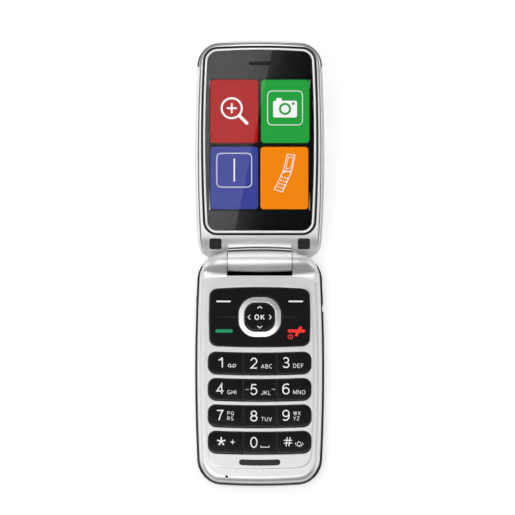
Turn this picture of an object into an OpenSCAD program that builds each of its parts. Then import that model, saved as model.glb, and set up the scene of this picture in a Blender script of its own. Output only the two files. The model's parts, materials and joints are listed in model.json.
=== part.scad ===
// Flip phone: a lower half with the keypad and battery, and a lid with the display, joined
// by a barrel hinge. Millimetres. X runs across the phone, +Y towards the hinge, +Z up.
// The phone lies on its back with the lid open. The origin is the middle of the lower
// half's footprint, on the face that it rests on.
// Heights in the lid are counted from the hinge axis with the lid closed, and every
// distance called "reach" is counted from the hinge axis along a half.

/* [Body] */
// Width of both halves at their widest
body_w = 56.4; // [55.4:0.2:60]
// Hinge axis to the bottom end of the lower half
base_reach = 98; // [97:0.5:106]
// Hinge axis to the top end of the lid
lid_reach = 96.8; // [96:0.2:106]
// Radius of the lower half's corners in plan
corner_r = 10; // [9:0.5:11]
// Radius of the lid's corners in plan
lid_corner_r = 9; // [8.6:0.1:10]
// How far each long side draws in towards its ends
side_bow = 1.5; // [1:0.1:1.8]
// How far each short end draws back at its corners
end_bow = 1.3; // [0.8:0.1:1.8]
// The same at the lid's top end
lid_end_bow = 1; // [0.6:0.1:1.1]
// Share of each side's margin that the lid keeps at its top end
end_share = 0.45; // [0.35:0.05:0.5]
// Wall of the moulded housings
wall = 1.2; // [1:0.1:1.4]
// Gap between the faces of the closed halves
face_gap = 0.8; // [0.7:0.1:1.2]
// Angle between the closed lid and the open one
open_angle = 160; // [120:1:162]

/* [Hinge] */
// Radius of the barrel at its middle and of the arc that the halves turn about
roll_r = 4.6; // [4.4:0.1:4.9]
// Length of the lid's barrel
barrel_w = 28; // [25:0.5:29]
// How much thinner the barrel is at its ends
barrel_crown = 0.4; // [0.2:0.1:0.5]
// Space between the barrel and its pocket in the lower half
pocket_gap = 1.6; // [1.4:0.1:1.8]
// Space between the lid's scoop and the shoulders
scoop_gap = 0.5; // [0.45:0.05:0.7]
// Space between each end of the barrel and its shoulder
shoulder_gap = 0.3; // [0.2:0.05:0.4]
// Radius of the shaft that the cartridge turns on
shaft_r = 1.6; // [1.4:0.1:1.8]
// Radius of the hinge cartridge
cartridge_r = 2.9; // [2.7:0.1:3]
// Outer radius of the hollow collar that the cable runs through
collar_r = 2.3; // [2.1:0.1:2.4]
// Radial clearance of everything that turns in the hinge
turn_gap = 0.05; // [0.03:0.01:0.08]

/* [Lower half] */
// Height of the rear housing, up to the seam
rear_h = 5.2; // [5:0.1:5.4]
// How far the front housing stands back from the rear housing's rim
rim_step = 0.5; // [0.3:0.1:0.6]
// How far the rounding of the front edge reaches in
edge_run = 3.5; // [3:0.1:4]
// Height of the rounding of the front edge
edge_rise = 2.6; // [2.2:0.1:3]
// How far the rounding of the back edge reaches in
back_run = 3; // [2.5:0.1:3.4]
// Height of the rounding of the back edge
back_rise = 3.4; // [3:0.1:3.6]
// Margin between the side of the housing and the raised plateau
plateau_margin = 4; // [3.6:0.1:4.2]
// Height of the plateau
plateau_h = 0.25; // [0.2:0.05:0.35]
// Angle at which the heel leaves the hinge roll
heel_angle = 40; // [38:1:42]
// Length of the rubber rest
rest_w = 17.9; // [14:0.1:20]
// Width of the rubber rest
rest_l = 2.5; // [2:0.1:2.8]
// Rubber rest to the bottom end of the housing
rest_margin = 9.3; // [9:0.1:9.5]
// Diameter of the microphone hole
mic_d = 1.2; // [0.8:0.1:1.4]

/* [Keypad] */
// Side of the housing to a row of number keys
row_margin = 5.8; // [5.7:0.1:7]
// Last row to the bottom end of the housing
rows_margin = 12.8; // [12.6:0.1:14]
// Web of the housing between two rows
row_web = 1.96; // [1.7:0.02:2.1]
// Radius of the outer corners of a row, as a share of a key's length
row_round = 0.41; // [0.3:0.01:0.45]
// How far the middle of a row sags below its ends
row_sag = 0.6; // [0.3:0.1:0.7]
// How much wider an outer key is than a middle one
outer_key_extra = 0.5; // [0.2:0.1:1]
// Seam between two keys of a row
key_seam = 0.3; // [0.2:0.05:0.4]
// Space between a key and its window
key_gap = 0.15; // [0.1:0.05:0.2]
// How far the keys stand above the plateau
key_proud = 0.25; // [0.15:0.05:0.3]
// How far a key travels
key_travel = 0.3; // [0.2:0.05:0.4]
// How far a key's flange reaches under the housing
flange_w = 0.6; // [0.4:0.1:0.7]
// Thickness of a key's flange
flange_t = 0.5; // [0.4:0.05:0.7]
// Radius of the key's top edge
key_edge = 0.3; // [0.2:0.05:0.35]

/* [Navigation keys] */
// Side of the housing to the panel of function keys
nav_margin = 6.2; // [5.8:0.1:7]
// Length of the panel along the phone
nav_l = 26.3; // [25.5:0.1:26.5]
// Hinge axis to the panel
nav_start = 11.5; // [11.4:0.1:12]
// Web of the housing between the panel and the first row
nav_web = 2.7; // [2.5:0.1:3]
// Radius of the corners of the panel
nav_r = 3; // [2.5:0.1:3.5]
// Seam between two function keys
nav_seam = 0.16; // [0.1:0.02:0.3]
// Width of the four-way ring
ring_w = 18.4; // [17:0.1:19]
// Length of the four-way ring
ring_l = 17.7; // [16.5:0.1:18.5]
// Width of the ring's band
ring_band = 2.5; // [2.2:0.1:2.7]
// Radius of the ring's outer corners
ring_r = 7; // [6:0.1:7.5]
// Space around the ring and around the OK key
ring_gap = 0.2; // [0.15:0.05:0.25]
// How far the ring stands above the keys
ring_proud = 0.15; // [0.1:0.05:0.2]
// Thickness of the plate that the ring rocks on
rocker_t = 0.6; // [0.5:0.05:0.8]
// Space above and below the rocking plate
rocker_gap = 0.3; // [0.28:0.02:0.36]
// Radius of the OK key's plunger
plunger_r = 3; // [2.5:0.1:3.4]

/* [Electronics] */
// Side of the housing to the battery
battery_margin = 11.2; // [10.8:0.1:12.5]
// Bottom end of the housing to the card holder
card_margin = 7.3; // [7:0.1:9]
// Thickness of the battery
battery_t = 4.5; // [4.4:0.1:5.5]
// Thickness of the battery cover
cover_t = 1; // [0.9:0.1:1.2]
// Side of the housing to the battery cover
cover_margin = 5.7; // [5.4:0.1:6.5]
// Thickness of the roof over the battery
bay_roof_t = 0.7; // [0.6:0.1:1]
// Thickness of the main board
board_t = 0.8; // [0.6:0.1:1]
// Thickness of the dome sheet
dome_t = 0.2; // [0.15:0.05:0.3]
// Radius of a dome
dome_r = 2; // [1.8:0.1:2.4]
// Thickness of the keypad mat
mat_t = 0.7; // [0.6:0.1:0.9]
// Height of the main parts on the board
part_h = 1.9; // [1.7:0.1:2]
// Radius of the headphone jack's bore
jack_r = 1.8; // [1.75:0.05:1.85]
// Length of the headphone jack
jack_l = 14; // [13:0.5:14.5]
// Space left where two pieces seat on each other
seat_gap = 0.1; // [0.05:0.05:0.15]

/* [Volume rocker] */
// Length of the volume rocker
rocker_l = 13; // [11:0.5:14]
// Height of the volume rocker
rocker_h = 2.2; // [1.8:0.1:2.3]
// Hinge axis to the middle of the volume rocker
rocker_reach = 20.7; // [20:0.1:22]

/* [Lid] */
// Height of the seam above the lid's face
lid_seam = 3.2; // [3:0.1:3.4]
// How far the rounding of the lid's back reaches in
lid_run = 4.5; // [4:0.1:5]
// Height of the rounding of the lid's back
lid_rise = 4; // [3.4:0.1:4.2]
// Ledge of the rear cover outside the side rails
rail_inset = 0.65; // [0.5:0.05:0.75]
// Width of the side rails
rail_w = 0.65; // [0.5:0.05:0.7]
// Length of the dark cap at the lid's top end
cap_l = 11.2; // [10:0.1:12]
// Thickness of the circuit board in the lid
lid_board_t = 0.7; // [0.6:0.1:1]

/* [Display] */
// Side of the lid to the display lens
lens_side = 4.45; // [4.3:0.05:5]
// Display lens to the hinge axis
lens_start = 14.2; // [14:0.1:15]
// Display lens to the top end of the lid
lens_margin = 3.3; // [3.2:0.1:4]
// Radius of the lens's corners
lens_r = 4.4; // [4:0.1:5]
// Thickness of the display lens
lens_t = 1; // [0.8:0.1:1.2]
// Depth of the lens below the lid's face
lens_recess = 0.25; // [0.2:0.05:0.3]
// Width of the bright trim round the lens
trim_w = 0.9; // [0.8:0.05:0.95]
// Width of the black gasket round the trim
gasket_w = 0.9; // [0.7:0.05:0.95]
// Ledge that the lens seats on
lens_ledge = 1.2; // [1:0.1:1.4]
// Thickness of that ledge
ledge_t = 0.5; // [0.4:0.1:0.7]
// Length of the earpiece slot
slot_w = 9.6; // [8:0.1:11]
// Width of the earpiece slot
slot_l = 1.7; // [1.4:0.1:2]
// Top end of the lid to the middle of the earpiece slot
slot_margin = 9.2; // [9.1:0.1:9.6]
// Side of the lens to the display panel
lcd_side = 0.75; // [0.5:0.05:1.5]
// Top end of the lens to the display panel
lcd_far = 10.5; // [10.4:0.1:12]
// Hinge end of the lens to the display panel
lcd_near = 6.15; // [5:0.05:8]
// Thickness of the display panel
lcd_t = 1.9; // [1.6:0.1:2.4]
// Thickness of the display's metal tray
tray_t = 0.3; // [0.2:0.05:0.4]

/* [Outer face of the lid] */
// Side of the lid to the dark outer window
window_margin = 14.7; // [13:0.1:16]
// Hinge axis to the outer window
window_start = 40.4; // [38:0.2:44]
// Thickness of the outer window
window_t = 0.7; // [0.5:0.05:0.8]
// Radius of the camera's lens cover
camera_r = 3.6; // [3.2:0.1:4]
// Width of the notification light
light_w = 2.6; // [2:0.1:3]
// Length of the notification light
light_l = 16; // [12:0.5:18]

/* [Fasteners] */
// Radius of the screws' thread
screw_r = 0.7; // [0.6:0.05:0.8]
// Radius of the screws' heads
head_r = 1.3; // [1.2:0.05:1.4]
// Height of the screws' heads
head_h = 0.9; // [0.7:0.1:1]
// Side of the square rubber plugs
plug_w = 5; // [4:0.1:5.2]
// Hinge axis to the middle of a plug
plug_reach = 7.9; // [7.9:0.05:8]
// Side of the lid to the middle of a plug
plug_margin = 8.9; // [8.2:0.1:10]

/* [Hidden] */

slice = 0.02;   // thickness of the slices that a rounded shell is hulled from
over = 1;       // how far a cut runs past the face that it opens
round_fn = 48;
arc_steps = 6;  // points on a corner arc
side_steps = 6; // stretches along a bowed side

// Heights in the lower half, from the face that it rests on
battery_z = cover_t + seat_gap;
bay_roof_z = battery_z + battery_t + seat_gap;
board_z = bay_roof_z + bay_roof_t + seat_gap;
dome_z = board_z + board_t;
mat_z = dome_z + dome_t + seat_gap;
press_gap = 0.1;
key_z = mat_z + mat_t + key_travel + press_gap;
flange_gap = 0.2;
face_z = key_z + flange_t + flange_gap;
base_t = face_z + wall;
plateau_z = base_t + plateau_h;
key_top = plateau_z + key_proud;
hinge_z = base_t + face_gap / 2;
hinge_y = (base_reach - roll_r) / 2;
floor_z = cover_t + seat_gap + wall;

// Places along the lower half
base_end = (base_reach + roll_r) / 2;
pocket_r = roll_r + pocket_gap;
cavity_top = hinge_y - pocket_r - wall;
cavity_inset = rim_step + wall + 0.4;
rear_wall = wall + 0.4;
nav_w = body_w - 2 * nav_margin;
nav_y = hinge_y - nav_start - nav_l / 2;
row_w = body_w - 2 * row_margin;
row_l = (base_reach - nav_start - nav_l - nav_web - rows_margin - 3 * row_web) / 4;
row_r = row_round * row_l;
key_w = (row_w - 2 * outer_key_extra) / 3;
board_margin = 7.8;                        // bottom end of the housing to the board
board_top = cavity_top - 3.6;
board_w = body_w - 2 * cavity_inset - 5.4;
board_l = board_top + base_end - board_margin - 1.6;
board_y = board_top - board_l / 2;
cover_w = body_w - 2 * cover_margin;
cover_top = hinge_y - 26.7;
card_w = 25;
card_l = 13;
card_y = card_margin - base_end + card_l / 2;
battery_w = body_w - 2 * battery_margin;
bay_top = cover_top - 5.5;
bay_w = battery_w + 4 * seat_gap;
bay_l = bay_top - card_y - card_l / 2 - wall - 4 * seat_gap;
bay_y = bay_top - bay_l / 2;
battery_l = bay_l - 4 * seat_gap;
screw_top = [body_w / 2 - 8.2, cavity_top - 1.4];
screw_bottom = [body_w / 2 - 11.2, 6.7 - base_end];
post_r = screw_r + 1;
screw_gap = 0.05;
usb_reach = 60;
usb_y = hinge_y - usb_reach;
usb_w = 7.6;
usb_h = 2.5;
usb_l = 5;
jack_y = hinge_y - 19.5;
jack_body_r = 2.4;
jack_z = board_z - seat_gap - jack_body_r;
mouth_r = jack_r + 0.35;
groove_x = cover_w / 2 - 2;                // middle of the battery cover's guide rails
guide_w = 1.2;
guide_h = 0.6;

// Heights in the lid, from the hinge axis with the lid closed
lid_face_z = face_gap / 2;
lens_z = lid_face_z + lens_recess;
ledge_z = lens_z + lens_t;
lcd_z = ledge_z + ledge_t + seat_gap;
tray_z = lcd_z + lcd_t;
lid_board_z = tray_z + tray_t + seat_gap;
lid_parts_z = lid_board_z + lid_board_t;
lid_roof_z = lid_parts_z + part_h + seat_gap;
lid_back_z = lid_roof_z + wall;
lid_seam_z = lid_face_z + lid_seam;

// Places along the lid; the lid runs towards -Y while it is closed
lid_middle = (lid_reach - roll_r) / 2;
scoop_r = roll_r + scoop_gap;
lens_w = body_w - 2 * lens_side;
lens_l = lid_reach - lens_start - lens_margin;
lens_y = -(lens_start + lens_l / 2);
slot_y = slot_margin - lid_reach;
lcd_w = lens_w - 2 * lcd_side;
lcd_l = lens_l - lcd_far - lcd_near;
lcd_y = lens_y + (lcd_far - lcd_near) / 2;
cap_y = cap_l - lid_reach;
bezel_inset = rail_inset + rail_w + 0.05;
bezel_step = 0.6;
draft = 0.03;
hinge_block = plug_reach + plug_w / 2 + 0.4;
tip_gap = 0.6;
nest_gap = 0.05;
plug_x = body_w / 2 - plug_margin;
window_w = body_w - 2 * window_margin;
window_l = -window_start - cap_y - wall;
window_y = -window_start - window_l / 2;
camera_y = window_y - window_l / 2 + 9;
light_y = window_y + 6;

silver = "#d9dadb";
bright = "#f2f3f4";
dark = "#3a3b3d";
black = "#17181a";

// ---------- Shared outlines ----------

// Point on corner q of a rounded rectangle, at angle t
function corner_point(a, b, r, q, t) = [
    (q == 0 || q == 3 ? 1 : -1) * (a - r) + r * cos(t),
    (q < 2 ? 1 : -1) * (b - r) + r * sin(t)
];

// Rounded rectangle with half sizes a and b, with points along its straight sides too
function rounded_rect(a, b, r) = [
    for (q = [0:3]) each concat(
        [for (i = [0:arc_steps]) corner_point(a, b, r, q, 90 * (q + i / arc_steps))],
        [for (j = [1:side_steps - 1]) let (s = j / side_steps, t = 90 * (q + 1))
            corner_point(a, b, r, q, t) * (1 - s) + corner_point(a, b, r, (q + 1) % 4, t) * s]
    )
];

// The same rectangle with bowed sides: each long side draws in by side at its ends, and the
// +Y and -Y ends draw back by near and far at their corners
function bowed_rect(a, b, r, side, near, far) = [
    for (p = rounded_rect(a, b, r)) [
        p.x * (1 - side / a * pow(p.y / b, 2)),
        p.y * (1 - (p.y > 0 ? near : far) / b * pow(p.x / a, 2))
    ]
];

// Outline of the lower half, drawn in by inset
function base_outline(inset) = bowed_rect(
    body_w / 2 - inset, base_end - inset, corner_r - inset, side_bow, end_bow, end_bow
);

// Outline of the lid, drawn in by inset at its sides
function lid_outline(inset) = bowed_rect(
    body_w / 2 - inset, (lid_reach + roll_r) / 2 - end_share * inset, lid_corner_r - inset,
    side_bow, lid_end_bow, lid_end_bow
);

// Outline of the display lens, grown by grow; its end at the hinge is straight
function lens_outline(grow) = bowed_rect(
    lens_w / 2 + grow, lens_l / 2 + grow, lens_r + grow, 1.3, 0, 0.6
);

// Panel of function keys, grown by grow
function nav_outline(grow) = bowed_rect(
    nav_w / 2 + grow, nav_l / 2 + grow, nav_r + grow, 0.4, 0.9, 0.6
);

// Row of number keys, grown by grow, with its middle sagging towards -Y
function row_outline(grow) = [
    for (p = rounded_rect(row_w / 2 + grow, row_l / 2 + grow, row_r + grow))
        [p.x, p.y + row_sag * pow(2 * p.x / row_w, 2)]
];

// Outer outline of the four-way ring, grown by grow
function ring_outline(grow) = bowed_rect(
    ring_w / 2 + grow, ring_l / 2 + grow, max(ring_r + grow, 1), 0.3, 0.3, 0.3
);

// Steps [inset, height] of an edge that rounds inwards on its way up to top
function round_up(inset, run, top, rise, n = 4) = [
    for (i = [0:n]) [inset + run * (1 - cos(90 * i / n)), top - rise * (1 - sin(90 * i / n))]
];

// Steps of an edge that rounds outwards on its way up from z = 0
function round_out(run, rise, n = 4) = [
    for (i = [n:-1:0]) [run * (1 - cos(90 * i / n)), rise * (1 - sin(90 * i / n))]
];

// ---------- Shared shapes ----------

// Solid through a list of [inset, height] steps of the outline of the lid or the lower half
module loft(steps, lid = false) {
    last = len(steps) - 1;
    hull() for (i = [0:last])
        translate([0, 0, steps[i][1] - slice * i / last]) linear_extrude(slice)
            polygon(lid ? lid_outline(steps[i][0]) : base_outline(steps[i][0]));
}

// Extrudes a side view, drawn as (Y, Z), evenly across the phone
module across(w) {
    rotate([90, 0, 90]) linear_extrude(w, center = true) children();
}

// Upright prism with a bottom at z and a height h
module prism(z, h) {
    translate([0, 0, z]) linear_extrude(h) children();
}

// Block centred on X and Y with rounded upright corners
module block(size, r = 0.5) {
    linear_extrude(size.z) polygon(rounded_rect(size.x / 2, size.y / 2, r));
}

// Copies children to the left and right
module both_sides() {
    children();
    mirror([1, 0, 0]) children();
}

// Cylinder along X from x0 to x1
module rod_x(r, x0, x1) {
    translate([x0, 0, 0]) rotate([0, 90, 0]) cylinder(r = r, h = x1 - x0, $fn = round_fn);
}

// Puts what is drawn about the hinge axis in its place on the lower half
module at_hinge() {
    translate([0, hinge_y, hinge_z]) children();
}

// Puts a piece of the closed lid in its place on the open one
module on_lid() {
    at_hinge() rotate([-open_angle, 0, 0]) children();
}

// Half plane with y below the limit
module below(limit) {
    translate([-body_w, limit - 4 * base_reach]) square([2 * body_w, 4 * base_reach]);
}

// Half plane with y above the limit
module above(limit) {
    translate([-body_w, limit]) square([2 * body_w, 4 * base_reach]);
}

// Copies children to the four housing screws of the lower half
module at_base_screws() {
    both_sides() for (p = [screw_top, screw_bottom]) translate([p.x, p.y, 0]) children();
}

// Copies children to the two lid screws
module at_lid_screws() {
    both_sides() translate([plug_x, -plug_reach, 0]) children();
}

// ---------- Lower half: housings ----------

// Side view of the lower half: square at the bottom end, cut to the roll and its heel
module base_profile() {
    heel = [hinge_y + roll_r * sin(heel_angle), hinge_z - roll_r * cos(heel_angle)];
    foot = (heel.y + over) / sin(heel_angle);
    polygon([
        [-base_reach, -over], [-base_reach, hinge_z], [hinge_y, hinge_z], heel,
        [heel.x - foot * cos(heel_angle), -over]
    ]);
}

// Round shoulder at the right end of the barrel, tapering towards the corner
module hinge_shoulder() {
    start = barrel_w / 2 + shoulder_gap;
    corner_reach = sqrt(pow(corner_r, 2) - pow(corner_r - roll_r, 2));
    end = body_w / 2 - side_bow - corner_r + corner_reach;
    r0 = roll_r - 0.3;
    steps = 10;
    rotate([0, 90, 0]) rotate_extrude($fn = round_fn) polygon(concat(
        [[0, start]],
        [for (i = [0:steps]) let (s = sin(90 * i / steps))
            [max(r0 * sqrt(1 - s * s), 0.05), start + (end - start) * s]],
        [[0, end]]
    ));
}

// Pocket that the barrel turns in
module barrel_pocket() {
    reach = barrel_w / 2 + shoulder_gap;
    at_hinge() rod_x(pocket_r, -reach, reach);
}

// Bores in the shoulders for the hinge shaft on the right and the collar on the left
module shoulder_bores() {
    at_hinge() {
        rod_x(shaft_r, 0, shaft_end);
        rod_x(collar_r, -shaft_end, 0);
    }
}
shaft_end = barrel_w / 2 + 5.5;

// Openings in the left and right walls for the volume rocker, USB and headphone sockets
module side_openings(grow = 0) {
    wall_x = body_w / 2 - rear_wall / 2;
    translate([-wall_x, rocker_y, rocker_z - rocker_h / 2 - key_gap])
        block([4 * wall, rocker_l + 4 * key_gap, rocker_h + 2 * key_gap]);
    translate([-wall_x, usb_y, usb_z - key_gap])
        block([4 * wall, usb_w + 2 * key_gap, usb_h + 2 * key_gap]);
    translate([wall_x - 2 * wall, jack_y, jack_z])
        rod_x(mouth_r + seat_gap, 0, 4 * wall);
}
rocker_y = hinge_y - rocker_reach;
rocker_z = rear_h - rocker_h / 2 - 0.4;
usb_z = board_z - seat_gap - usb_h;

// Smooth step that frames the keys
module plateau() {
    margin = plateau_margin;
    top = hinge_y - 9.1;
    bottom = 5.7 - base_end;
    translate([0, (top + bottom) / 2, 0]) prism(base_t - slice, plateau_h + slice)
        polygon(bowed_rect(body_w / 2 - margin, (top - bottom) / 2, corner_r - margin,
            side_bow, 0.6, 0.9));
}

// Silver shell that frames the keys and carries the hinge shoulders
module base_front_housing() color(silver) {
    steps = concat([[rim_step, rear_h]], round_up(rim_step, edge_run, base_t, edge_rise));
    difference() {
        union() {
            difference() {
                intersection() {
                    loft(steps);
                    across(2 * body_w) base_profile();
                }
                prism(rear_h - over, face_z - rear_h + over) cavity_outline(cavity_inset);
            }
            plateau();
            both_sides() at_hinge() hinge_shoulder();
            at_base_screws() translate([0, 0, rear_h + seat_gap])
                cylinder(r = post_r, h = face_z - rear_h, $fn = round_fn);
        }
        barrel_pocket();
        shoulder_bores();
        side_openings();
        key_windows();
        at_base_screws() cylinder(r = screw_r + screw_gap, h = face_z, $fn = round_fn);
        rest_seat();
        translate([mic_x, mic_y, rear_h]) cylinder(d = mic_d, h = base_t, $fn = round_fn);
    }
}
mic_x = 13.8 - body_w / 2;
mic_y = 3 - base_end;

// Inside of the shells, as far as the wall in front of the barrel's pocket
module cavity_outline(inset) {
    intersection() {
        polygon(base_outline(inset));
        below(cavity_top);
    }
}

// Windows for the function keys and the four rows of number keys
module key_windows() {
    prism(key_z, base_t) {
        translate([0, nav_y]) polygon(nav_outline(key_gap));
        for (i = [0:3]) translate([0, row_y(i)]) polygon(row_outline(key_gap));
    }
}

// Middle of row i of the number keys
function row_y(i) = hinge_y - nav_start - nav_l - nav_web - row_l / 2 - i * (row_l + row_web);

// Outline of the rubber rest, which sags a little in the middle
module rest_outline(grow) {
    sag = 0.25;
    translate([0, rest_margin - base_end])
        polygon([for (p = rounded_rect(rest_w / 2 + grow, rest_l / 2 + grow, rest_l / 2))
            [p.x, p.y + sag * (pow(2 * p.x / rest_w, 2) - 1)]]);
}

rest_depth = 0.6;

module rest_seat() {
    prism(base_t - rest_depth, over + rest_depth) rest_outline(nest_gap);
}

// Rubber strip that the closed lid lands on
module rest_bumper() color(dark)
    prism(base_t - rest_depth, rest_depth + plateau_h + face_gap / 2) rest_outline(0);

// Dark shell with the battery bay; its rim frames the front housing
module base_rear_housing() color(dark) {
    steps = concat(round_out(back_run, back_rise), [[0, rear_h]]);
    difference() {
        union() {
            difference() {
                intersection() {
                    loft(steps);
                    across(2 * body_w) base_profile();
                }
                prism(floor_z, rear_h) cavity_outline(rear_wall);
                prism(wall, rear_h) intersection() {
                    cavity_outline(rear_wall + 1);
                    above(cover_top + wall);
                }
                barrel_pocket();
            }
            translate([0, bay_y, floor_z - slice])
                block([bay_w + 2 * wall, bay_l + 2 * wall,
                    bay_roof_z + bay_roof_t - floor_z + slice]);
            at_base_screws() translate([0, 0, wall])
                cylinder(r = head_r + 0.9, h = rear_h - wall, $fn = round_fn);
        }
        translate([0, bay_y, -over]) block([bay_w, bay_l, bay_roof_z + over]);
        cover_recess();
        translate([0, card_y, -over]) block([card_w + 2 * seat_gap, card_l + 2 * seat_gap, rear_h]);
        speaker_slots();
        side_openings();
        at_base_screws() {
            cylinder(r = screw_r + screw_gap, h = 2 * rear_h, $fn = round_fn);
            translate([0, 0, -over])
                cylinder(r = head_r + 2 * screw_gap, h = screw_seat + over, $fn = round_fn);
        }
    }
}
screw_seat = cover_t + 2 * seat_gap + head_h;

// Space for the battery cover and its guide rails, open at the bottom end
module cover_recess() {
    prism(-over, cover_t + seat_gap + over) intersection() {
        square([cover_w + 2 * key_gap, 4 * base_reach], center = true);
        below(cover_top + key_gap);
    }
    both_sides() translate([groove_x, guide_y - cover_slide / 2, 0])
        prism(0, cover_t + guide_h + 2 * seat_gap)
            square([guide_w + 2 * key_gap, guide_l + 2 * key_gap + cover_slide], center = true);
}
cover_slide = 8;
guide_l = 44;
guide_y = cover_top - 4 - guide_l / 2;

// Sound outlets over the loudspeaker
module speaker_slots() {
    for (i = [-2:2]) translate([speaker_x + 2 * i, speaker_y, -over])
        block([0.9, 8, wall + 2 * over], 0.4);
}
can_w = 11.5;
can_l = 13;
can_gap = 1.5;
speaker_x = 2.15 + can_w + can_gap / 2 - board_w / 2;
speaker_y = hinge_y - 18;
speaker_w = 14;
speaker_l = 11;

// Plain cover over the battery; it slides off towards the bottom end
module battery_cover() color(dark) {
    steps = concat(round_out(back_run, back_rise), [[0, rear_h]]);
    intersection() {
        loft(steps);
        prism(0, cover_t) intersection() {
            square([cover_w, 4 * base_reach], center = true);
            below(cover_top);
        }
    }
    both_sides() translate([groove_x, guide_y, 0]) prism(cover_t - slice, guide_h + slice)
        square([guide_w, guide_l], center = true);
}

// ---------- Lower half: inside ----------

module battery() color("#4d5b70")
    translate([0, bay_y, battery_z]) block([battery_w, battery_l, battery_t], 1);

// Three spring contacts on the wall of the battery bay
module battery_contacts() color("#c9a24a")
    for (i = [-1:1]) translate([contact_pitch * i, bay_top + wall + seat_gap + 1, battery_z + 1.6])
        block([1.6, 2, board_z - battery_z - 1.6 - seat_gap / 2], 0.3);
contact_pitch = 3;

module card_holder() color("#b9bcc0") difference() {
    bottom = cover_t + 3 * seat_gap;
    translate([0, card_y, bottom]) block([card_w, card_l, board_z - seat_gap / 2 - bottom]);
    translate([0, card_y, bottom - over]) block([card_w - 3, card_l - 3, over + 1.2]);
}

module board_outline() {
    translate([0, board_y]) polygon(rounded_rect(board_w / 2, board_l / 2, 3));
}

module main_board() color("#1f6b45") prism(board_z, board_t) board_outline();

// Metal cans over the radio and the processor, under the board
module shield_cans() color("#c4c7ca") {
    for (i = [-0.5, 0.5])
        translate([speaker_x + i * (can_w + can_gap), speaker_y, board_z - part_h])
            block([can_w, can_l, part_h - seat_gap / 2]);
}

// Clear sheet with a metal dome under every key
module dome_sheet() color("#e6e2d4") {
    prism(dome_z, dome_t) offset(delta = -0.4) board_outline();
    for (i = [0:3], j = [-1:1]) translate([j * key_w, row_y(i), dome_z]) dome();
    for (x = [-1, 1], y = [-1, 1])
        translate([x * nav_w * 0.35, nav_y + y * nav_l * 0.33, dome_z]) dome();
    for (a = [0:90:270]) rotate_about(a) translate([(ring_w - ring_band) / 2 - 1, 0, 0]) dome();
    translate([0, nav_y, dome_z]) dome();
}

// Turns children by a about the middle of the four-way ring
module rotate_about(a) {
    translate([0, nav_y, dome_z]) rotate(a) children();
}

module dome() cylinder(r = dome_r, h = dome_t + seat_gap / 2, $fn = 24);

// Silicone mat with a pad under every key
module keypad_mat() color("#8d9196") prism(mat_z, mat_t) board_outline();

// Speaker for the ringtone, over its outlets in the rear housing
module loudspeaker() color("#6b6e72")
    translate([speaker_x, speaker_y, wall + seat_gap])
        block([speaker_w, speaker_l, board_z - part_h - wall - 2 * seat_gap], 2);

module microphone() color("#c8b27a")
    translate([mic_x - 0.4, mic_y + 0.9, face_z - 1.3]) block([3.4, 2.4, 1.2], 0.3);

// USB socket, opening through the left wall
module usb_connector() color("#b4b7bb") {
    outer_x = -(body_w / 2 - rear_wall - 0.4);
    translate([outer_x + usb_l / 2 - 0.8, usb_y, usb_z]) difference() {
        block([usb_l, usb_w, usb_h]);
        translate([-over, 0, 0.4]) block([usb_l, usb_w - 0.8, usb_h - 0.8], 0.3);
    }
}

// Headphone jack, opening through the right wall
module headphone_jack() color("#26282b") {
    mouth_x = body_w / 2 - rear_wall / 2 - 0.2;
    back_x = mouth_x - jack_l - 1;
    body_x = half_width(jack_y) - rear_wall - 1 - 3 * seat_gap;
    translate([0, jack_y, jack_z]) difference() {
        union() {
            translate([(back_x + body_x) / 2, 0, -jack_body_r])
                block([body_x - back_x, 2 * jack_body_r + 1, 2 * jack_body_r]);
            rod_x(mouth_r, body_x - 1, mouth_x);
        }
        rod_x(jack_r, mouth_x - jack_l, mouth_x + over);
    }
}

// Screws that hold the two housings together, driven in from the back
module base_screws() color("#8c8f93") at_base_screws() {
    translate([0, 0, screw_seat - head_h]) difference() {
        cylinder(r = head_r, h = head_h - seat_gap / 2, $fn = round_fn);
        translate([0, 0, -over]) cylinder(r = 0.6, h = over + head_h / 2, $fn = 6);
    }
    translate([0, 0, screw_seat - seat_gap])
        cylinder(r = screw_r, h = face_z - screw_seat - 0.4, $fn = round_fn);
}

// ---------- Keys ----------

// Plan of the key in column j (-1, 0 or 1) of a row, grown only where no key is beside it
module key_plan(j, grow) {
    half = (key_w - key_seam) / 2;
    intersection() {
        polygon(row_outline(grow));
        translate([j == 0 ? -half : j > 0 ? key_w / 2 + key_seam / 2 : -body_w, -body_w])
            square([j == 0 ? 2 * half : body_w - key_w / 2 - key_seam / 2, 2 * body_w]);
    }
}

// Body of a key: flange under the housing, straight sides and a rounded top edge
module key_body(top) {
    prism(key_z, flange_t) children(0);
    prism(key_z, top - key_edge - key_z) children(1);
    prism(top - key_edge - slice, key_edge / 2 + slice) offset(delta = -key_edge / 3) children(1);
    prism(top - key_edge / 2 - slice, key_edge / 2 + slice) offset(delta = -key_edge) children(1);
}

module number_key(i, j) color(black) translate([0, row_y(i), 0]) key_body(key_top) {
    key_plan(j, flange_w);
    key_plan(j, 0);
}

module key_1() number_key(0, -1);
module key_2() number_key(0, 0);
module key_3() number_key(0, 1);
module key_4() number_key(1, -1);
module key_5() number_key(1, 0);
module key_6() number_key(1, 1);
module key_7() number_key(2, -1);
module key_8() number_key(2, 0);
module key_9() number_key(2, 1);
module key_star() number_key(3, -1);
module key_0() number_key(3, 0);
module key_hash() number_key(3, 1);

// Quarter of the function-key panel with a corner towards the ring cut away
module quarter_plan(sx, sy, grow) difference() {
    intersection() {
        polygon(nav_outline(grow));
        translate([sx > 0 ? nav_seam / 2 : -body_w, sy > 0 ? nav_seam / 2 : -body_w])
            square(body_w - nav_seam / 2);
    }
    polygon(ring_outline(ring_gap));
}

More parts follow.
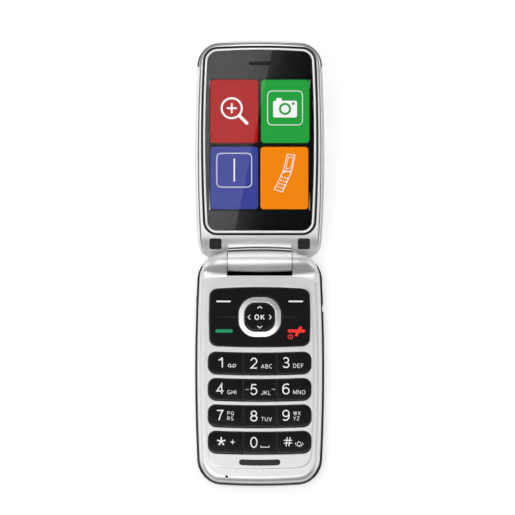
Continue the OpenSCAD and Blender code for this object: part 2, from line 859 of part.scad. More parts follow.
module function_key(sx, sy) color(black) translate([0, nav_y, 0]) key_body(plateau_z) {
    quarter_plan(sx, sy, flange_w);
    quarter_plan(sx, sy, 0);
}

module soft_key_left() function_key(-1, 1);
module soft_key_right() function_key(1, 1);
module call_key() function_key(-1, -1);
module end_key() function_key(1, -1);

ring_z = key_z + rocker_t + rocker_gap;
ring_top = key_top + ring_proud;

// Plate that rocks up and down and carries the ring
module nav_rocker_plate() color(dark) translate([0, nav_y, 0])
    prism(key_z, rocker_t) difference() {
        polygon(ring_outline(-0.4));
        circle(r = plunger_r + over, $fn = round_fn);
    }

// Bright ring for the four directions
module nav_ring() color(bright) translate([0, nav_y, 0]) {
    prism(ring_z, ring_top - ring_z - key_edge) difference() {
        polygon(ring_outline(0));
        polygon(ring_outline(-ring_band));
    }
    prism(ring_top - key_edge - slice, key_edge + slice) difference() {
        polygon(ring_outline(-key_edge));
        polygon(ring_outline(key_edge - ring_band));
    }
}

// OK key in the middle of the ring, with its plunger
module ok_key() color(black) translate([0, nav_y, 0]) {
    wide_z = ring_z + rocker_gap;
    prism(wide_z, plateau_z - wide_z - key_edge) polygon(ring_outline(-ring_band - ring_gap));
    prism(plateau_z - key_edge - slice, key_edge + slice)
        polygon(ring_outline(-ring_band - ring_gap - key_edge));
    prism(key_z, wide_z - key_z + slice) circle(r = plunger_r, $fn = round_fn);
}

// Volume rocker in the left wall, held behind it by its flange
module volume_rocker() color(dark) {
    flange_l = rocker_l + 3;
    rock_room = 0.5;
    flange_x = rear_wall + rock_room - half_width(rocker_y + flange_l / 2);
    face_x = 0.1 - half_width(rocker_y);
    translate([(flange_x + face_x) / 2, rocker_y, rocker_z - rocker_h / 2])
        block([flange_x - face_x, rocker_l, rocker_h]);
    translate([flange_x + 0.3, rocker_y, rocker_z - rocker_h / 2 - 0.2])
        block([0.8, flange_l, rocker_h + 0.4], 0.3);
}

// Half the width of the lower half at a place y
function half_width(y) = body_w / 2 - side_bow * pow(y / base_end, 2);

// ---------- Lid: housings ----------

// Moves the shared outline to the closed lid
module lid_plan() {
    translate([0, -lid_middle, 0]) children();
}

// Cut round the shoulders and the barrel, r from the hinge axis
module scoop(r = scoop_r) {
    rod_x(r, -body_w, body_w);
}

// Rounded solid of the lid behind the seam
module lid_back_solid() {
    steps = concat([[0, lid_seam_z]], round_up(0, lid_run, lid_back_z, lid_rise));
    lid_plan() loft(steps, lid = true);
}

// Space inside the lid between two heights
module lid_cavity(inset, z0, z1) {
    prism(z0, z1 - z0) intersection() {
        translate([0, -lid_middle]) polygon(lid_outline(inset));
        below(-tip_gap - wall);
    }
}

// Silver back of the lid
module lid_rear_cover() color(silver) on_lid() difference() {
    union() {
        difference() {
            intersection() {
                lid_back_solid();
                prism(0, 2 * lid_back_z) intersection() {
                    below(-tip_gap);
                    above(cap_y + nest_gap);
                }
            }
            difference() {
                lid_cavity(lid_cavity_inset, 0, lid_roof_z);
                scoop(scoop_r + wall);
            }
        }
        at_lid_screws() translate([0, 0, lid_seam_z])
            cylinder(r = post_r, h = lid_roof_z - lid_seam_z + slice, $fn = round_fn);
    }
    scoop();
    at_lid_screws() cylinder(r = screw_r + screw_gap, h = lid_roof_z - 0.5, $fn = round_fn);
    translate([0, window_y, lid_back_z - window_t])
        block([window_w + 2 * nest_gap, window_l + 2 * nest_gap, 2 * window_t], window_r);
    translate([0, camera_y, 0])
        cylinder(r = camera_r + nest_gap, h = lid_back_z, $fn = round_fn);
    translate([0, light_y, 0])
        block([light_w + 2 * nest_gap, light_l + 2 * nest_gap, lid_back_z], light_w / 2);
}
lid_cavity_inset = wall + 1;
window_r = 5;

// Ring under the edge of the rear cover, up to top, from which the rails and the cap's
// skirt are cut
module edge_band(top) {
    prism(lid_face_z + 0.8, top - lid_face_z - 0.8) translate([0, -lid_middle]) difference() {
        polygon(lid_outline(rail_inset));
        polygon(lid_outline(rail_inset + rail_w));
    }
}

// Bright rails along both sides of the lid
module lid_side_rails() color(bright) on_lid() difference() {
    intersection() {
        edge_band(lid_seam_z - nest_gap);
        prism(0, lid_back_z) intersection() {
            below(-tip_gap - 1);
            above(cap_y + nest_gap);
        }
    }
    scoop();
}

// Dark cap over the top end of the lid
module lid_top_cap() color(black) on_lid() {
    difference() {
        intersection() {
            lid_back_solid();
            prism(0, 2 * lid_back_z) below(cap_y);
        }
        lid_cavity(lid_cavity_inset, 0, lid_roof_z);
    }
    intersection() {
        edge_band(lid_seam_z + slice);
        prism(0, lid_back_z) below(cap_y);
    }
}

// Inner frame of the lid, with the neck and the barrel of the hinge
module lid_front_bezel() color(silver) on_lid() difference() {
    union() {
        difference() {
            intersection() {
                lid_plan() loft([
                    [bezel_inset + bezel_step, lid_face_z],
                    [bezel_inset + bezel_step / 3, lid_face_z + 0.35],
                    [bezel_inset + draft, lid_face_z + 0.9],
                    [bezel_inset, lid_seam_z - nest_gap]
                ], lid = true);
                prism(0, lid_back_z) below(-tip_gap);
            }
            prism(ledge_z + ledge_t, lid_back_z) intersection() {
                translate([0, -lid_middle]) polygon(lid_outline(bezel_inset + wall));
                below(-hinge_block);
            }
            scoop();
        }
        hinge_neck();
        barrel();
    }
    rod_x(cartridge_r + turn_gap, -barrel_w / 2 + collar_l, barrel_w / 2 + over);
    rod_x(collar_r + turn_gap, -barrel_w, 0);
    prism(0, ledge_z) lens_place() polygon(lens_outline(trim_w + gasket_w + 2 * nest_gap));
    prism(0, lid_back_z) lens_place() polygon(lens_outline(-lens_ledge));
    at_lid_screws() {
        translate([0, 0, -over])
            block([plug_w + 2 * nest_gap, plug_w + 2 * nest_gap, over + plug_seat], 0.9);
        cylinder(r = head_r + screw_gap, h = plug_seat + head_h, $fn = round_fn);
        cylinder(r = screw_r + screw_gap, h = lid_back_z, $fn = round_fn);
    }
    flex_slot();
}
plug_seat = lid_face_z + 0.9;
collar_l = 2;

// Moves a lens outline to its place in the closed lid
module lens_place() {
    translate([0, lens_y]) children();
}

// Stepped neck that joins the lid's face to the barrel
module hinge_neck() {
    w = barrel_w - 0.4;
    step = 0.45;
    across(w) polygon([
        [-hinge_block, lid_face_z], [-roll_r - 2, lid_face_z],
        [-roll_r - 2, lid_face_z + step], [-roll_r - 0.7, lid_face_z + step],
        [-roll_r - 0.7, lid_face_z + 2 * step], [-roll_r + 0.6, lid_face_z + 2 * step],
        [-0.3 * roll_r, lid_face_z + step], [-0.3 * roll_r, lid_seam_z],
        [-hinge_block, lid_seam_z]
    ]);
}

// Crowned barrel between the shoulders
module barrel() {
    half = barrel_w / 2;
    steps = 12;
    rotate([0, 90, 0]) rotate_extrude($fn = round_fn) polygon(concat(
        [[0, -half]],
        [for (i = [0:steps]) let (x = half * (2 * i / steps - 1))
            [roll_r - barrel_crown * pow(x / half, 2), x]],
        [[0, half]]
    ));
}

// Slot in the neck for the flex cable
module flex_slot() {
    translate([-flex_x - flex_w / 2 - seat_gap, -hinge_block - over, flex_z - seat_gap])
        cube([flex_w + 2 * seat_gap, hinge_block + over, flex_t + 2 * seat_gap]);
}
flex_x = 5;
flex_w = 5;
flex_t = 0.2;
coil_r = cartridge_r - 0.2;
flex_z = coil_r - flex_t / 2;

// Rubber line round the display
module lens_gasket() color(black) on_lid() prism(lens_z, lens_t - nest_gap) lens_place()
    difference() {
        polygon(lens_outline(trim_w + gasket_w + nest_gap));
        polygon(lens_outline(trim_w + nest_gap));
    }

// Bright trim between the gasket and the lens
module lens_trim() color(bright) on_lid() prism(lid_face_z, ledge_z - lid_face_z - nest_gap)
    lens_place() difference() {
        polygon(lens_outline(trim_w));
        polygon(lens_outline(nest_gap));
    }

// Slot that the earpiece sounds through, grown by grow
module slot_outline(grow) {
    translate([0, slot_y])
        polygon(rounded_rect(slot_w / 2 + grow, slot_l / 2 + grow, slot_l / 2 + grow));
}

module display_lens() color("#23262a") on_lid() prism(lens_z, lens_t - nest_gap) difference() {
    lens_place() polygon(lens_outline(0));
    slot_outline(0);
}

module earpiece_mesh() color("#55585c") on_lid() prism(ledge_z, 0.2) slot_outline(0.8);

// ---------- Lid: inside and outer face ----------

module lcd_panel() color("#5b6f86") on_lid() translate([0, lcd_y, lcd_z])
    block([lcd_w, lcd_l, lcd_t], 0.6);

// Metal tray behind and around the display panel
module lcd_tray() color("#c9ccd0") on_lid() translate([0, lcd_y, lcd_z]) difference() {
    grow = 2 * (tray_t + nest_gap);
    block([lcd_w + grow, lcd_l + grow, lcd_t + tray_t + nest_gap], 1);
    translate([0, 0, -over]) block([lcd_w + 2 * nest_gap, lcd_l + 2 * nest_gap, over + lcd_t + nest_gap], 0.6);
}

module lid_board() color("#1f6b45") on_lid() translate([0, lcd_y, lid_board_z])
    block([lcd_w - 2, lcd_l + 4, lid_board_t], 2);

module earpiece_speaker() color("#6b6e72") on_lid()
    translate([0, slot_y + 0.6, ledge_z + 0.2 + nest_gap])
        block([12, 7, lid_board_z - ledge_z - 0.4], 2);

module vibration_motor() color("#a9acb0") on_lid()
    translate([4.75 - lens_w / 2, slot_y, ledge_z + ledge_t + 2.1]) rod_x(2, 0, 9.5);

module camera_module() color("#2c2e31") on_lid() translate([0, camera_y, lid_parts_z + nest_gap])
    block([7.5, 7.5, part_h - nest_gap]);

module camera_lens_cover() color("#3c434a") on_lid()
    translate([0, camera_y, lid_roof_z])
        cylinder(r = camera_r, h = lid_back_z - lid_roof_z, $fn = round_fn);

// Dark window on the outer face, with holes for the camera and the light
module outer_window() color(black) on_lid() difference() {
    translate([0, window_y, lid_back_z - window_t])
        block([window_w, window_l, window_t], window_r - nest_gap);
    translate([0, camera_y, 0])
        cylinder(r = camera_r + nest_gap, h = 2 * lid_back_z, $fn = round_fn);
    translate([0, light_y, 0])
        block([light_w + 2 * nest_gap, light_l + 2 * nest_gap, 2 * lid_back_z], light_w / 2);
}

module notification_light() color("#e8edf2") on_lid() translate([0, light_y, lid_roof_z - 1.6])
    block([light_w, light_l, lid_back_z - lid_roof_z + 1.6], light_w / 2 - nest_gap);

// Square rubber plugs over the lid screws, which the lower half's shoulders land beside
module screw_plugs() color("#3f4246") on_lid() at_lid_screws()
    translate([0, 0, lid_face_z - 0.1]) block([plug_w, plug_w, plug_seat - lid_face_z + 0.1], 0.9);

module lid_screws() color("#8c8f93") on_lid() at_lid_screws() {
    translate([0, 0, plug_seat]) difference() {
        cylinder(r = head_r, h = head_h - nest_gap, $fn = round_fn);
        translate([0, 0, -over]) cylinder(r = 0.6, h = over + head_h / 2, $fn = 6);
    }
    translate([0, 0, plug_seat + head_h - 2 * nest_gap])
        cylinder(r = screw_r, h = lid_roof_z - 1 - plug_seat - head_h, $fn = round_fn);
}

// Magnet that a sensor in the lower half reads when the lid is closed
module lid_magnet() color("#9a9da1") on_lid()
    translate([lens_w / 2 - 7.75, slot_y, ledge_z + ledge_t + nest_gap]) block([6, 4, 1.2]);

// ---------- Hinge parts ----------

// Spring cartridge in the barrel, with a socket for the shaft
module hinge_cartridge() color("#b0b3b7") on_lid() difference() {
    rod_x(cartridge_r, barrel_w / 2 - 12, barrel_w / 2 - 0.1);
    rod_x(shaft_r + turn_gap, barrel_w / 2 - 7, barrel_w);
}

// Shaft that is pressed into the right shoulder and turns in the cartridge
module hinge_shaft() color("#8f9296") at_hinge()
    rod_x(shaft_r, barrel_w / 2 - 6.5, shaft_end - nest_gap);

// Hollow collar in the left shoulder that the barrel turns on
module hinge_collar() color("#8f9296") at_hinge() difference() {
    rod_x(collar_r, -shaft_end + nest_gap, -barrel_w / 2 + collar_l - 0.2);
    rod_x(collar_r - 0.6, -barrel_w, 0);
}

// Flex cable: rolled up in the barrel, then through the neck to the board in the lid
module hinge_flex_cable() color("#b5722c") on_lid() {
    strip_end = -hinge_block - 1.5;
    board_end = lcd_y + lcd_l / 2 - 4;
    difference() {
        rod_x(coil_r, -flex_x - flex_w / 2 - 2, -flex_x + flex_w / 2 + 2);
        rod_x(coil_r - 0.4, -barrel_w, barrel_w);
    }
    translate([-flex_x - flex_w / 2, 0, 0]) {
        translate([0, strip_end, flex_z]) cube([flex_w, -strip_end, flex_t]);
        translate([0, strip_end, flex_z]) cube([flex_w, flex_t, lid_parts_z - flex_z + flex_t]);
        translate([0, board_end, lid_parts_z]) cube([flex_w, strip_end - board_end + flex_t, flex_t]);
    }
}

lid_front_bezel();
lid_rear_cover();
lid_side_rails();
lid_top_cap();
lens_gasket();
lens_trim();
display_lens();
earpiece_mesh();
lcd_panel();
lcd_tray();
lid_board();
earpiece_speaker();
vibration_motor();
camera_module();
camera_lens_cover();
outer_window();
notification_light();
lid_screws();
screw_plugs();
lid_magnet();
hinge_cartridge();
hinge_flex_cable();
hinge_shaft();
hinge_collar();
base_front_housing();
base_rear_housing();
rest_bumper();
keypad_mat();
dome_sheet();
main_board();
shield_cans();
battery();
battery_contacts();
card_holder();
usb_connector();
headphone_jack();
loudspeaker();
microphone();
base_screws();
key_1();
key_2();
key_3();
key_4();
key_5();
key_6();
key_7();
key_8();
key_9();
key_star();
key_0();
key_hash();
soft_key_left();
soft_key_right();
call_key();
end_key();
nav_rocker_plate();
nav_ring();
ok_key();
battery_cover();
volume_rocker();
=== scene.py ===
"""Flip phone, lying on its back with the lid open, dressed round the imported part.

Lengths in the classes below are millimetres and are turned to metres as a mesh is made.
The lid's pieces are worked out for the closed lid, with heights counted from the hinge
axis, and then turned about that axis to where the open lid is.
"""

import json
import logging
import math
from collections.abc import Callable
from dataclasses import dataclass, field
from enum import Enum

import bmesh
import bpy
import numpy as np
from mathutils import Matrix, Vector

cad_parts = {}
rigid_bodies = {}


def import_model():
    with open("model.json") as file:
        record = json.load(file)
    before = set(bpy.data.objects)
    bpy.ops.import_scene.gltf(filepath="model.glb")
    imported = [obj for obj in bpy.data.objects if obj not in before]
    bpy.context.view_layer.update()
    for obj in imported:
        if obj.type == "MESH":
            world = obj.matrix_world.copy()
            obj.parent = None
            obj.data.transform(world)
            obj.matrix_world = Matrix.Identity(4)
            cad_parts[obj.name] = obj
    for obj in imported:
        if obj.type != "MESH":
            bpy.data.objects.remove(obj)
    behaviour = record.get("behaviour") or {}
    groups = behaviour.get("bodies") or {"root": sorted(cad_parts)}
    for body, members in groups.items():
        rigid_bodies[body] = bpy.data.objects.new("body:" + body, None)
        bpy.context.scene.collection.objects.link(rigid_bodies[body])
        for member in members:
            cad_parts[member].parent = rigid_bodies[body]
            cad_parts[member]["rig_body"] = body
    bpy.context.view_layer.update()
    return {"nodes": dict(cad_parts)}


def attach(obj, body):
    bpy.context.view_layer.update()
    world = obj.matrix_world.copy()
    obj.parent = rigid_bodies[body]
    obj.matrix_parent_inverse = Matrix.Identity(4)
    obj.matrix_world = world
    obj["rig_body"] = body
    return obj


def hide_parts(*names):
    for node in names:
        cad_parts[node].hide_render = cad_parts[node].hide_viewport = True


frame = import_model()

LOG = logging.getLogger("flip_phone")
MM = 0.001
OPEN_ANGLE = math.radians(160)
HINGE_Y = 46.7
HINGE_Z = 11.0
OPENING = Matrix.Translation((0, HINGE_Y * MM, HINGE_Z * MM)) @ Matrix.Rotation(-OPEN_ANGLE, 4, "X")
BASE_TOP = 10.6
PLATEAU_TOP = 10.85
KEY_TOP = 11.1
FACE_UNDERSIDE = 9.4
SEAM_HEIGHT = 5.2
ROUND_END = 0.98

Array = np.ndarray
Piece = bpy.types.Object
Socket = bpy.types.NodeSocket
Pair = tuple[float, float]
Point = tuple[float, float, float]
Colour = tuple[float, float, float, float]
Radii = tuple[float, float, float, float]
Plan = Callable[[float], Array]
Surface = Callable[[Array, Array], Array]


# ---------------------------------------------------------------- shapes in numbers


def rounded_rect(half_w: float, half_l: float, radii: Radii, arc: int, side: int) -> Array:
    """Points round a rectangle with a circular arc at each corner, anticlockwise from +X.

    Each point is a corner's centre plus its radius along the angle; on a straight side the
    centre and the radius pass evenly from one corner to the next.

    Args:
        half_w: Half the width along X.
        half_l: Half the length along Y.
        radii: Corner radii, from the (+X, +Y) corner anticlockwise.
        arc: Steps on each corner.
        side: Steps on each straight side.

    Returns:
        Array of shape (4 * (arc + side), 2).
    """
    quarter = np.repeat(np.arange(4), arc + side)
    step = np.tile(np.arange(arc + side), 4)
    angle = np.pi / 2 * (quarter + np.minimum(step, arc) / arc)
    share = np.clip((step - arc) / side, 0, 1)[:, None]
    sign = np.array([[1, 1], [-1, 1], [-1, -1], [1, -1]], float)
    radius = np.maximum(np.array(radii, float), 1e-4)
    centre = sign * (np.array([half_w, half_l]) - radius[:, None])
    after = (quarter + 1) % 4
    middle = centre[quarter] * (1 - share) + centre[after] * share
    reach = radius[quarter][:, None] * (1 - share) + radius[after][:, None] * share
    return middle + reach * np.stack([np.cos(angle), np.sin(angle)], axis=1)


def even_rect(half: Pair, radius: float, arc: int, side: int, at: Pair = (0.0, 0.0)) -> Array:
    """Rectangle about a point, with four corners of one radius."""
    return rounded_rect(*half, (radius,) * 4, arc, side) + np.array(at)


@dataclass(frozen=True)
class Outline:
    """Rounded rectangle whose long sides and ends draw in towards the corners."""

    half_w: float
    half_l: float
    radius: float
    side: float = 0.0
    near: float = 0.0
    far: float = 0.0
    centre_y: float = 0.0
    end_share: float = 1.0

    def ring(self, inset: float, arc: int = 14, side: int = 18) -> Array:
        """Points of the outline drawn in by inset, or grown where it is below 0.

        x is scaled by 1 - side / a * (y / b)^2, and y by 1 - bow / b * (x / a)^2, with
        the bow of the end that the point is nearest to.
        """
        a = self.half_w - inset
        b = self.half_l - inset * self.end_share
        flat = even_rect((a, b), max(self.radius - inset, 0.05), arc, side)
        bow = np.where(flat[:, 1] > 0, self.near, self.far)
        x = flat[:, 0] * (1 - self.side / a * (flat[:, 1] / b) ** 2)
        y = flat[:, 1] * (1 - bow / b * (flat[:, 0] / a) ** 2)
        return np.stack([x, y + self.centre_y], axis=1)


def at_height(ring: Array, height: float | Array) -> Array:
    """The flat points of a ring with a height as their third coordinate."""
    return np.column_stack([ring, np.broadcast_to(height, len(ring))])


def quarter_round(run: float, rise: float, steps: int) -> Array:
    """Pairs (inset, drop) down a quarter ellipse: run * (1 - cos t) and rise * (1 - sin t)."""
    t = np.linspace(0, np.pi / 2, steps + 1)
    return np.stack([run * (1 - np.cos(t)), rise * (1 - np.sin(t))], axis=1)


def eased(share: Array) -> Array:
    """Smooth step from 0 to 1: s^2 * (3 - 2 * s)."""
    return share * share * (3 - 2 * share)


def turned_to_open_lid(points: Array) -> Array:
    """Points of the closed lid, turned by the open angle about the hinge axis, along X."""
    c, s = math.cos(-OPEN_ANGLE), math.sin(-OPEN_ANGLE)
    x, y, z = points[..., 0], points[..., 1], points[..., 2]
    return np.stack([x, y * c - z * s + HINGE_Y, y * s + z * c + HINGE_Z], axis=-1)


def inner_rings(ring: Array, centre: Pair, shares: Array) -> Array:
    """Copies of a flat ring shrunk towards a centre by each of the shares."""
    middle = np.array(centre)
    return middle + (ring - middle)[None] * shares[:, None, None]


def round_the_edge(inset: float, top: float, size: Pair, steps: int, down: int = -1) -> list[Pair]:
    """Pairs (inset, height) from the side of a rounded edge to its top, which drops by down * drop."""
    return [(inset + run, top + down * drop) for run, drop in quarter_round(*size, steps)]


# ---------------------------------------------------------------- meshes


class Half(Enum):
    """The half that marks lie on, which says where their points are turned to."""

    BASE = "base"
    LID = "lid"


class Join(Enum):
    """What is left of a solid when another is combined with it."""

    CUT = "DIFFERENCE"
    ADD = "UNION"
    COMMON = "INTERSECT"


def new_object(name: str, verts: Array, faces: list[list[int]], sharp: float = 35) -> Piece:
    """Mesh object at the origin, from points in millimetres, smooth but for sharp edges.

    Args:
        name: Name of the piece.
        verts: Points of shape (n, 3), in millimetres, in the frame of the whole phone.
        faces: Corners of each face.
        sharp: Angle in degrees past which an edge is drawn sharp.

    Returns:
        The object, linked to the scene.
    """
    mesh = bpy.data.meshes.new(name)
    mesh.from_pydata((np.asarray(verts, float) * MM).tolist(), [], faces)
    mesh.validate()
    obj = bpy.data.objects.new(name, mesh)
    bpy.context.scene.collection.objects.link(obj)
    face_outwards(mesh)
    shade(mesh, sharp)
    return obj


def face_outwards(mesh: bpy.types.Mesh) -> None:
    """Turns the faces of each closed shell of a mesh outwards."""
    bm = bmesh.new()
    bm.from_mesh(mesh)
    bmesh.ops.remove_doubles(bm, verts=bm.verts, dist=1e-7)
    bmesh.ops.recalc_face_normals(bm, faces=bm.faces)
    bm.to_mesh(mesh)
    bm.free()


def shade(mesh: bpy.types.Mesh, sharp: float) -> None:
    """Smooth shading with edges past an angle in degrees left sharp."""
    mesh.shade_smooth()
    mesh.set_sharp_from_angle(angle=math.radians(sharp))


def grid_faces(rows: int, columns: int, closed: bool) -> Array:
    """Quads between the points of a grid whose point (i, j) has the index i * columns + j."""
    last = columns if closed else columns - 1
    i, j = np.meshgrid(np.arange(rows - 1), np.arange(last), indexing="ij")
    k = (j + 1) % columns
    quads = [i * columns + j, i * columns + k, (i + 1) * columns + k, (i + 1) * columns + j]
    return np.stack(quads, axis=-1).reshape(-1, 4)


def capped_faces(rows: int, columns: int) -> list[list[int]]:
    """Faces of a stack of closed rings, with a flat face over each end."""
    ends = [list(range(columns))[::-1], list(range((rows - 1) * columns, rows * columns))]
    return grid_faces(rows, columns, True).tolist() + ends


def skin(name: str, rings: Array, sharp: float = 35) -> Piece:
    """Closed solid through a stack of rings, with a flat face at each end."""
    return new_object(name, rings.reshape(-1, 3), capped_faces(*rings.shape[:2]), sharp)


def band(name: str, section: Array, sharp: float) -> Piece:
    """Closed ring: a section carried round and joined to itself."""
    rows, columns = section.shape[:2]
    looped = np.concatenate([section, section[:1]])
    return new_object(name, looped.reshape(-1, 3), grid_faces(rows + 1, columns, True).tolist(), sharp)


def lathe(name: str, profile: Array, steps: int, centre: Pair = (0.0, 0.0)) -> Piece:
    """Solid of revolution about a line along X.

    At an angle t round the line, y is y0 + radius * cos t and z is z0 + radius * sin t.
    """
    t = np.linspace(0, 2 * np.pi, steps, endpoint=False)
    x = np.broadcast_to(profile[:, :1], (len(profile), steps))
    y = centre[0] + profile[:, 1:] * np.cos(t)
    z = centre[1] + profile[:, 1:] * np.sin(t)
    return skin(name, np.stack([x, y, z], axis=-1))


def drum(name: str, ends: Pair, radius: float, steps: int, tip: float) -> Piece:
    """Round cutter about the hinge axis between two ends, each closed down to a small tip."""
    start, stop = ends
    profile = np.array([(start, tip), (start, radius), (stop, radius), (stop, tip)])
    return lathe(name, profile, steps, (HINGE_Y, HINGE_Z))


def prism_across(name: str, side_view: Array, ends: Pair) -> Piece:
    """Solid with the side view, drawn as (Y, Z), carried across from one x to another."""
    rings = [np.column_stack([np.full(len(side_view), x), side_view]) for x in ends]
    return skin(name, np.array(rings))


def prism(name: str, ring: Array, low: float, high: float) -> Piece:
    """Upright solid with the plan ring between two heights."""
    return skin(name, np.array([at_height(ring, low), at_height(ring, high)]))


def combine(obj: Piece, tools: list[Piece], how: Join = Join.CUT) -> Piece:
    """Cuts, joins or intersects an object with tools, which are used up.

    Args:
        obj: The object that is changed.
        tools: The solids that it is combined with.
        how: What is left of the object.

    Returns:
        The same object with its new mesh.
    """
    for tool in tools:
        step = obj.modifiers.new("combine", "BOOLEAN")
        step.operation = how.value
        step.solver = "EXACT"
        step.object = tool
    bake_modifiers(obj)
    for tool in tools:
        bpy.data.objects.remove(tool)
    return obj


def bake_modifiers(obj: Piece) -> None:
    """Puts what the modifiers make of an object into its own mesh."""
    bpy.context.view_layer.update()
    result = bpy.data.meshes.new_from_object(obj.evaluated_get(bpy.context.evaluated_depsgraph_get()))
    obj.modifiers.clear()
    old, name = obj.data, obj.data.name
    obj.data = result
    bpy.data.meshes.remove(old)
    result.name = name


def soften(obj: Piece, width: float, angle: float) -> Piece:
    """Rounds an object's edges in two steps and evens its shading."""
    step = obj.modifiers.new("soft_edges", "BEVEL")
    step.limit_method = "ANGLE"
    step.angle_limit = math.radians(angle)
    step.width = width * MM
    step.segments = 2
    step.use_clamp_overlap = True
    even = obj.modifiers.new("even_shading", "WEIGHTED_NORMAL")
    even.keep_sharp = True
    even.weight = 60
    return obj


def mesh_points(mesh: bpy.types.Mesh) -> Array:
    """Points of a mesh in millimetres, as an array (n, 3)."""
    points = np.zeros(len(mesh.vertices) * 3)
    mesh.vertices.foreach_get("co", points)
    return points.reshape(-1, 3) / MM


def put_points(mesh: bpy.types.Mesh, points: Array) -> None:
    """Moves the points of a mesh to an array (n, 3) in millimetres."""
    mesh.vertices.foreach_set("co", (points * MM).ravel())
    mesh.update()


def lid_piece(obj: Piece) -> Piece:
    """Turns a piece made for the closed lid to where the open lid is."""
    put_points(obj.data, turned_to_open_lid(mesh_points(obj.data)))
    return obj


def finished_copy(node: str, name: str, width: float, finish: "Finish") -> Piece:
    """Copy of a CAD node with whole faces, smooth rounds and soft edges, standing for it.

    Args:
        node: The CAD node.
        name: Name of the new piece.
        width: Width of its softened edges in millimetres, or 0 for none.
        finish: Its finish.

    Returns:
        The new object.
    """
    edge_angle = 32
    source = frame["nodes"][node]
    mesh = source.data.copy()
    mesh.name = name
    mesh.materials.clear()
    bm = bmesh.new()
    bm.from_mesh(mesh)
    bmesh.ops.remove_doubles(bm, verts=bm.verts, dist=2e-7)
    bmesh.ops.dissolve_limit(bm, angle_limit=math.radians(0.6), verts=bm.verts, edges=bm.edges)
    bm.to_mesh(mesh)
    bm.free()
    shade(mesh, edge_angle)
    obj = bpy.data.objects.new(name, mesh)
    bpy.context.scene.collection.objects.link(obj)
    if width:
        soften(obj, width, edge_angle)
    return settle(obj, source["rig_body"], finish, node)


def settle(obj: Piece, body: str, finish: "Finish", node: str = "") -> Piece:
    """Makes a piece move with a body, stand for a CAD node and wear its finish, and reports it.

    Args:
        obj: The piece.
        body: The body that it rides on.
        finish: Its finish, whose material it wears.
        node: The CAD node that it replaces, or nothing.

    Returns:
        The same piece.
    """
    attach(obj, body)
    if node:
        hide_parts(node)
    obj.data.materials.clear()
    obj.data.materials.append(finish.material())
    LOG.info("built %s on %s", obj.name, body)
    return obj


# ---------------------------------------------------------------- finishes


class Nodes:
    """The nodes of a material or a world, added and linked one by one."""

    def __init__(self, tree: bpy.types.NodeTree) -> None:
        """Keeps the tree that the nodes go into."""
        self.tree = tree

    def add(self, kind: str, links: dict[int | str, object], **settings: object) -> bpy.types.Node:
        """Adds a node, sets its properties and fills its inputs.

        Args:
            kind: The node's type without its ShaderNode prefix.
            links: For each input, a socket to link or a value to set.
            **settings: Properties of the node.

        Returns:
            The new node.
        """
        node = self.tree.nodes.new("ShaderNode" + kind)
        for key, value in settings.items():
            setattr(node, key, value)
        for key, value in links.items():
            self.plug(node.inputs[key], value)
        return node

    def plug(self, socket: Socket, value: object) -> None:
        """Links a socket to another, or sets its value."""
        if isinstance(value, Socket):
            self.tree.links.new(value, socket)
        else:
            socket.default_value = value

    def remap(
        self, value: object, low: float, high: float, source: Pair = (0.0, 1.0), how: str = "LINEAR"
    ) -> Socket:
        """A value carried from its source range to low and high, and held at both ends."""
        links = {"Value": value, "From Min": source[0], "From Max": source[1], "To Min": low, "To Max": high}
        return self.add("MapRange", links, interpolation_type=how).outputs["Result"]

    def maths(self, how: str, first: object, second: object = 0.0) -> Socket:
        """Result of one sum on two values."""
        return self.add("Math", {0: first, 1: second}, operation=how).outputs[0]


class Shader(Nodes):
    """A material's nodes round its Principled shader, on object coordinates."""

    def __init__(self, name: str) -> None:
        """Starts a material."""
        self.material = bpy.data.materials.new(name)
        self.material.use_nodes = True
        super().__init__(self.material.node_tree)
        self.surface = self.tree.nodes["Principled BSDF"]
        self.coords = self.tree.nodes.new("ShaderNodeTexCoord").outputs["Object"]

    def set(self, **values: object) -> None:
        """Fills inputs of the Principled shader; an underscore in a name stands for a space."""
        for key, value in values.items():
            self.plug(self.surface.inputs[key.replace("_", " ")], value)

    def noise(
        self, scale: float, detail: float = 2, rough: float = 0.5, coords: Socket | None = None
    ) -> Socket:
        """Value of an even noise whose patches are about 1 / scale metres wide."""
        place = self.coords if coords is None else coords
        links = {"Vector": place, "Scale": scale, "Detail": detail, "Roughness": rough}
        return self.add("TexNoise", links).outputs["Fac"]

    def stretched(self, along_x: float, turn: float = 0.0) -> Socket:
        """Object coordinates scaled along X, after a turn about Z in radians."""
        links = {"Vector": self.coords, "Scale": (along_x, 1, 1), "Rotation": (0, 0, turn)}
        return self.add("Mapping", links).outputs[0]

    def cells(self, scale: float) -> Socket:
        """A random grey for each cell of a pattern of small cells."""
        colour = self.add("TexVoronoi", {"Vector": self.coords, "Scale": scale}).outputs["Color"]
        return self.add("SeparateColor", {"Color": colour}).outputs[0]

    def waves(self, pitch: float) -> Socket:
        """Sum of a wave along X and one along Y, from -2 to 2, that repeat at a pitch in metres."""
        split = self.add("SeparateXYZ", {"Vector": self.coords})
        turns = [self.maths("MULTIPLY", split.outputs[letter], 2 * math.pi / pitch) for letter in "XY"]
        return self.maths("ADD", *(self.maths("SINE", turn) for turn in turns))

    def mix(self, share: object, first: object, second: object) -> Socket:
        """First colour passing to the second as share goes from 0 to 1."""
        return self.add("Mix", {0: share, 6: first, 7: second}, data_type="RGBA").outputs[2]

    def shades(self, share: object, colour: Colour, low: float, high: float) -> Socket:
        """A colour made darker or lighter, from low to high times as bright."""
        return self.mix(share, scaled(colour, low), scaled(colour, high))

    def bump(self, height: object, strength: float, distance: float) -> None:
        """Raises the surface by a height pattern, distance in metres."""
        node = self.add("Bump", {"Height": height, "Strength": strength, "Distance": distance})
        self.plug(self.surface.inputs["Normal"], node.outputs[0])


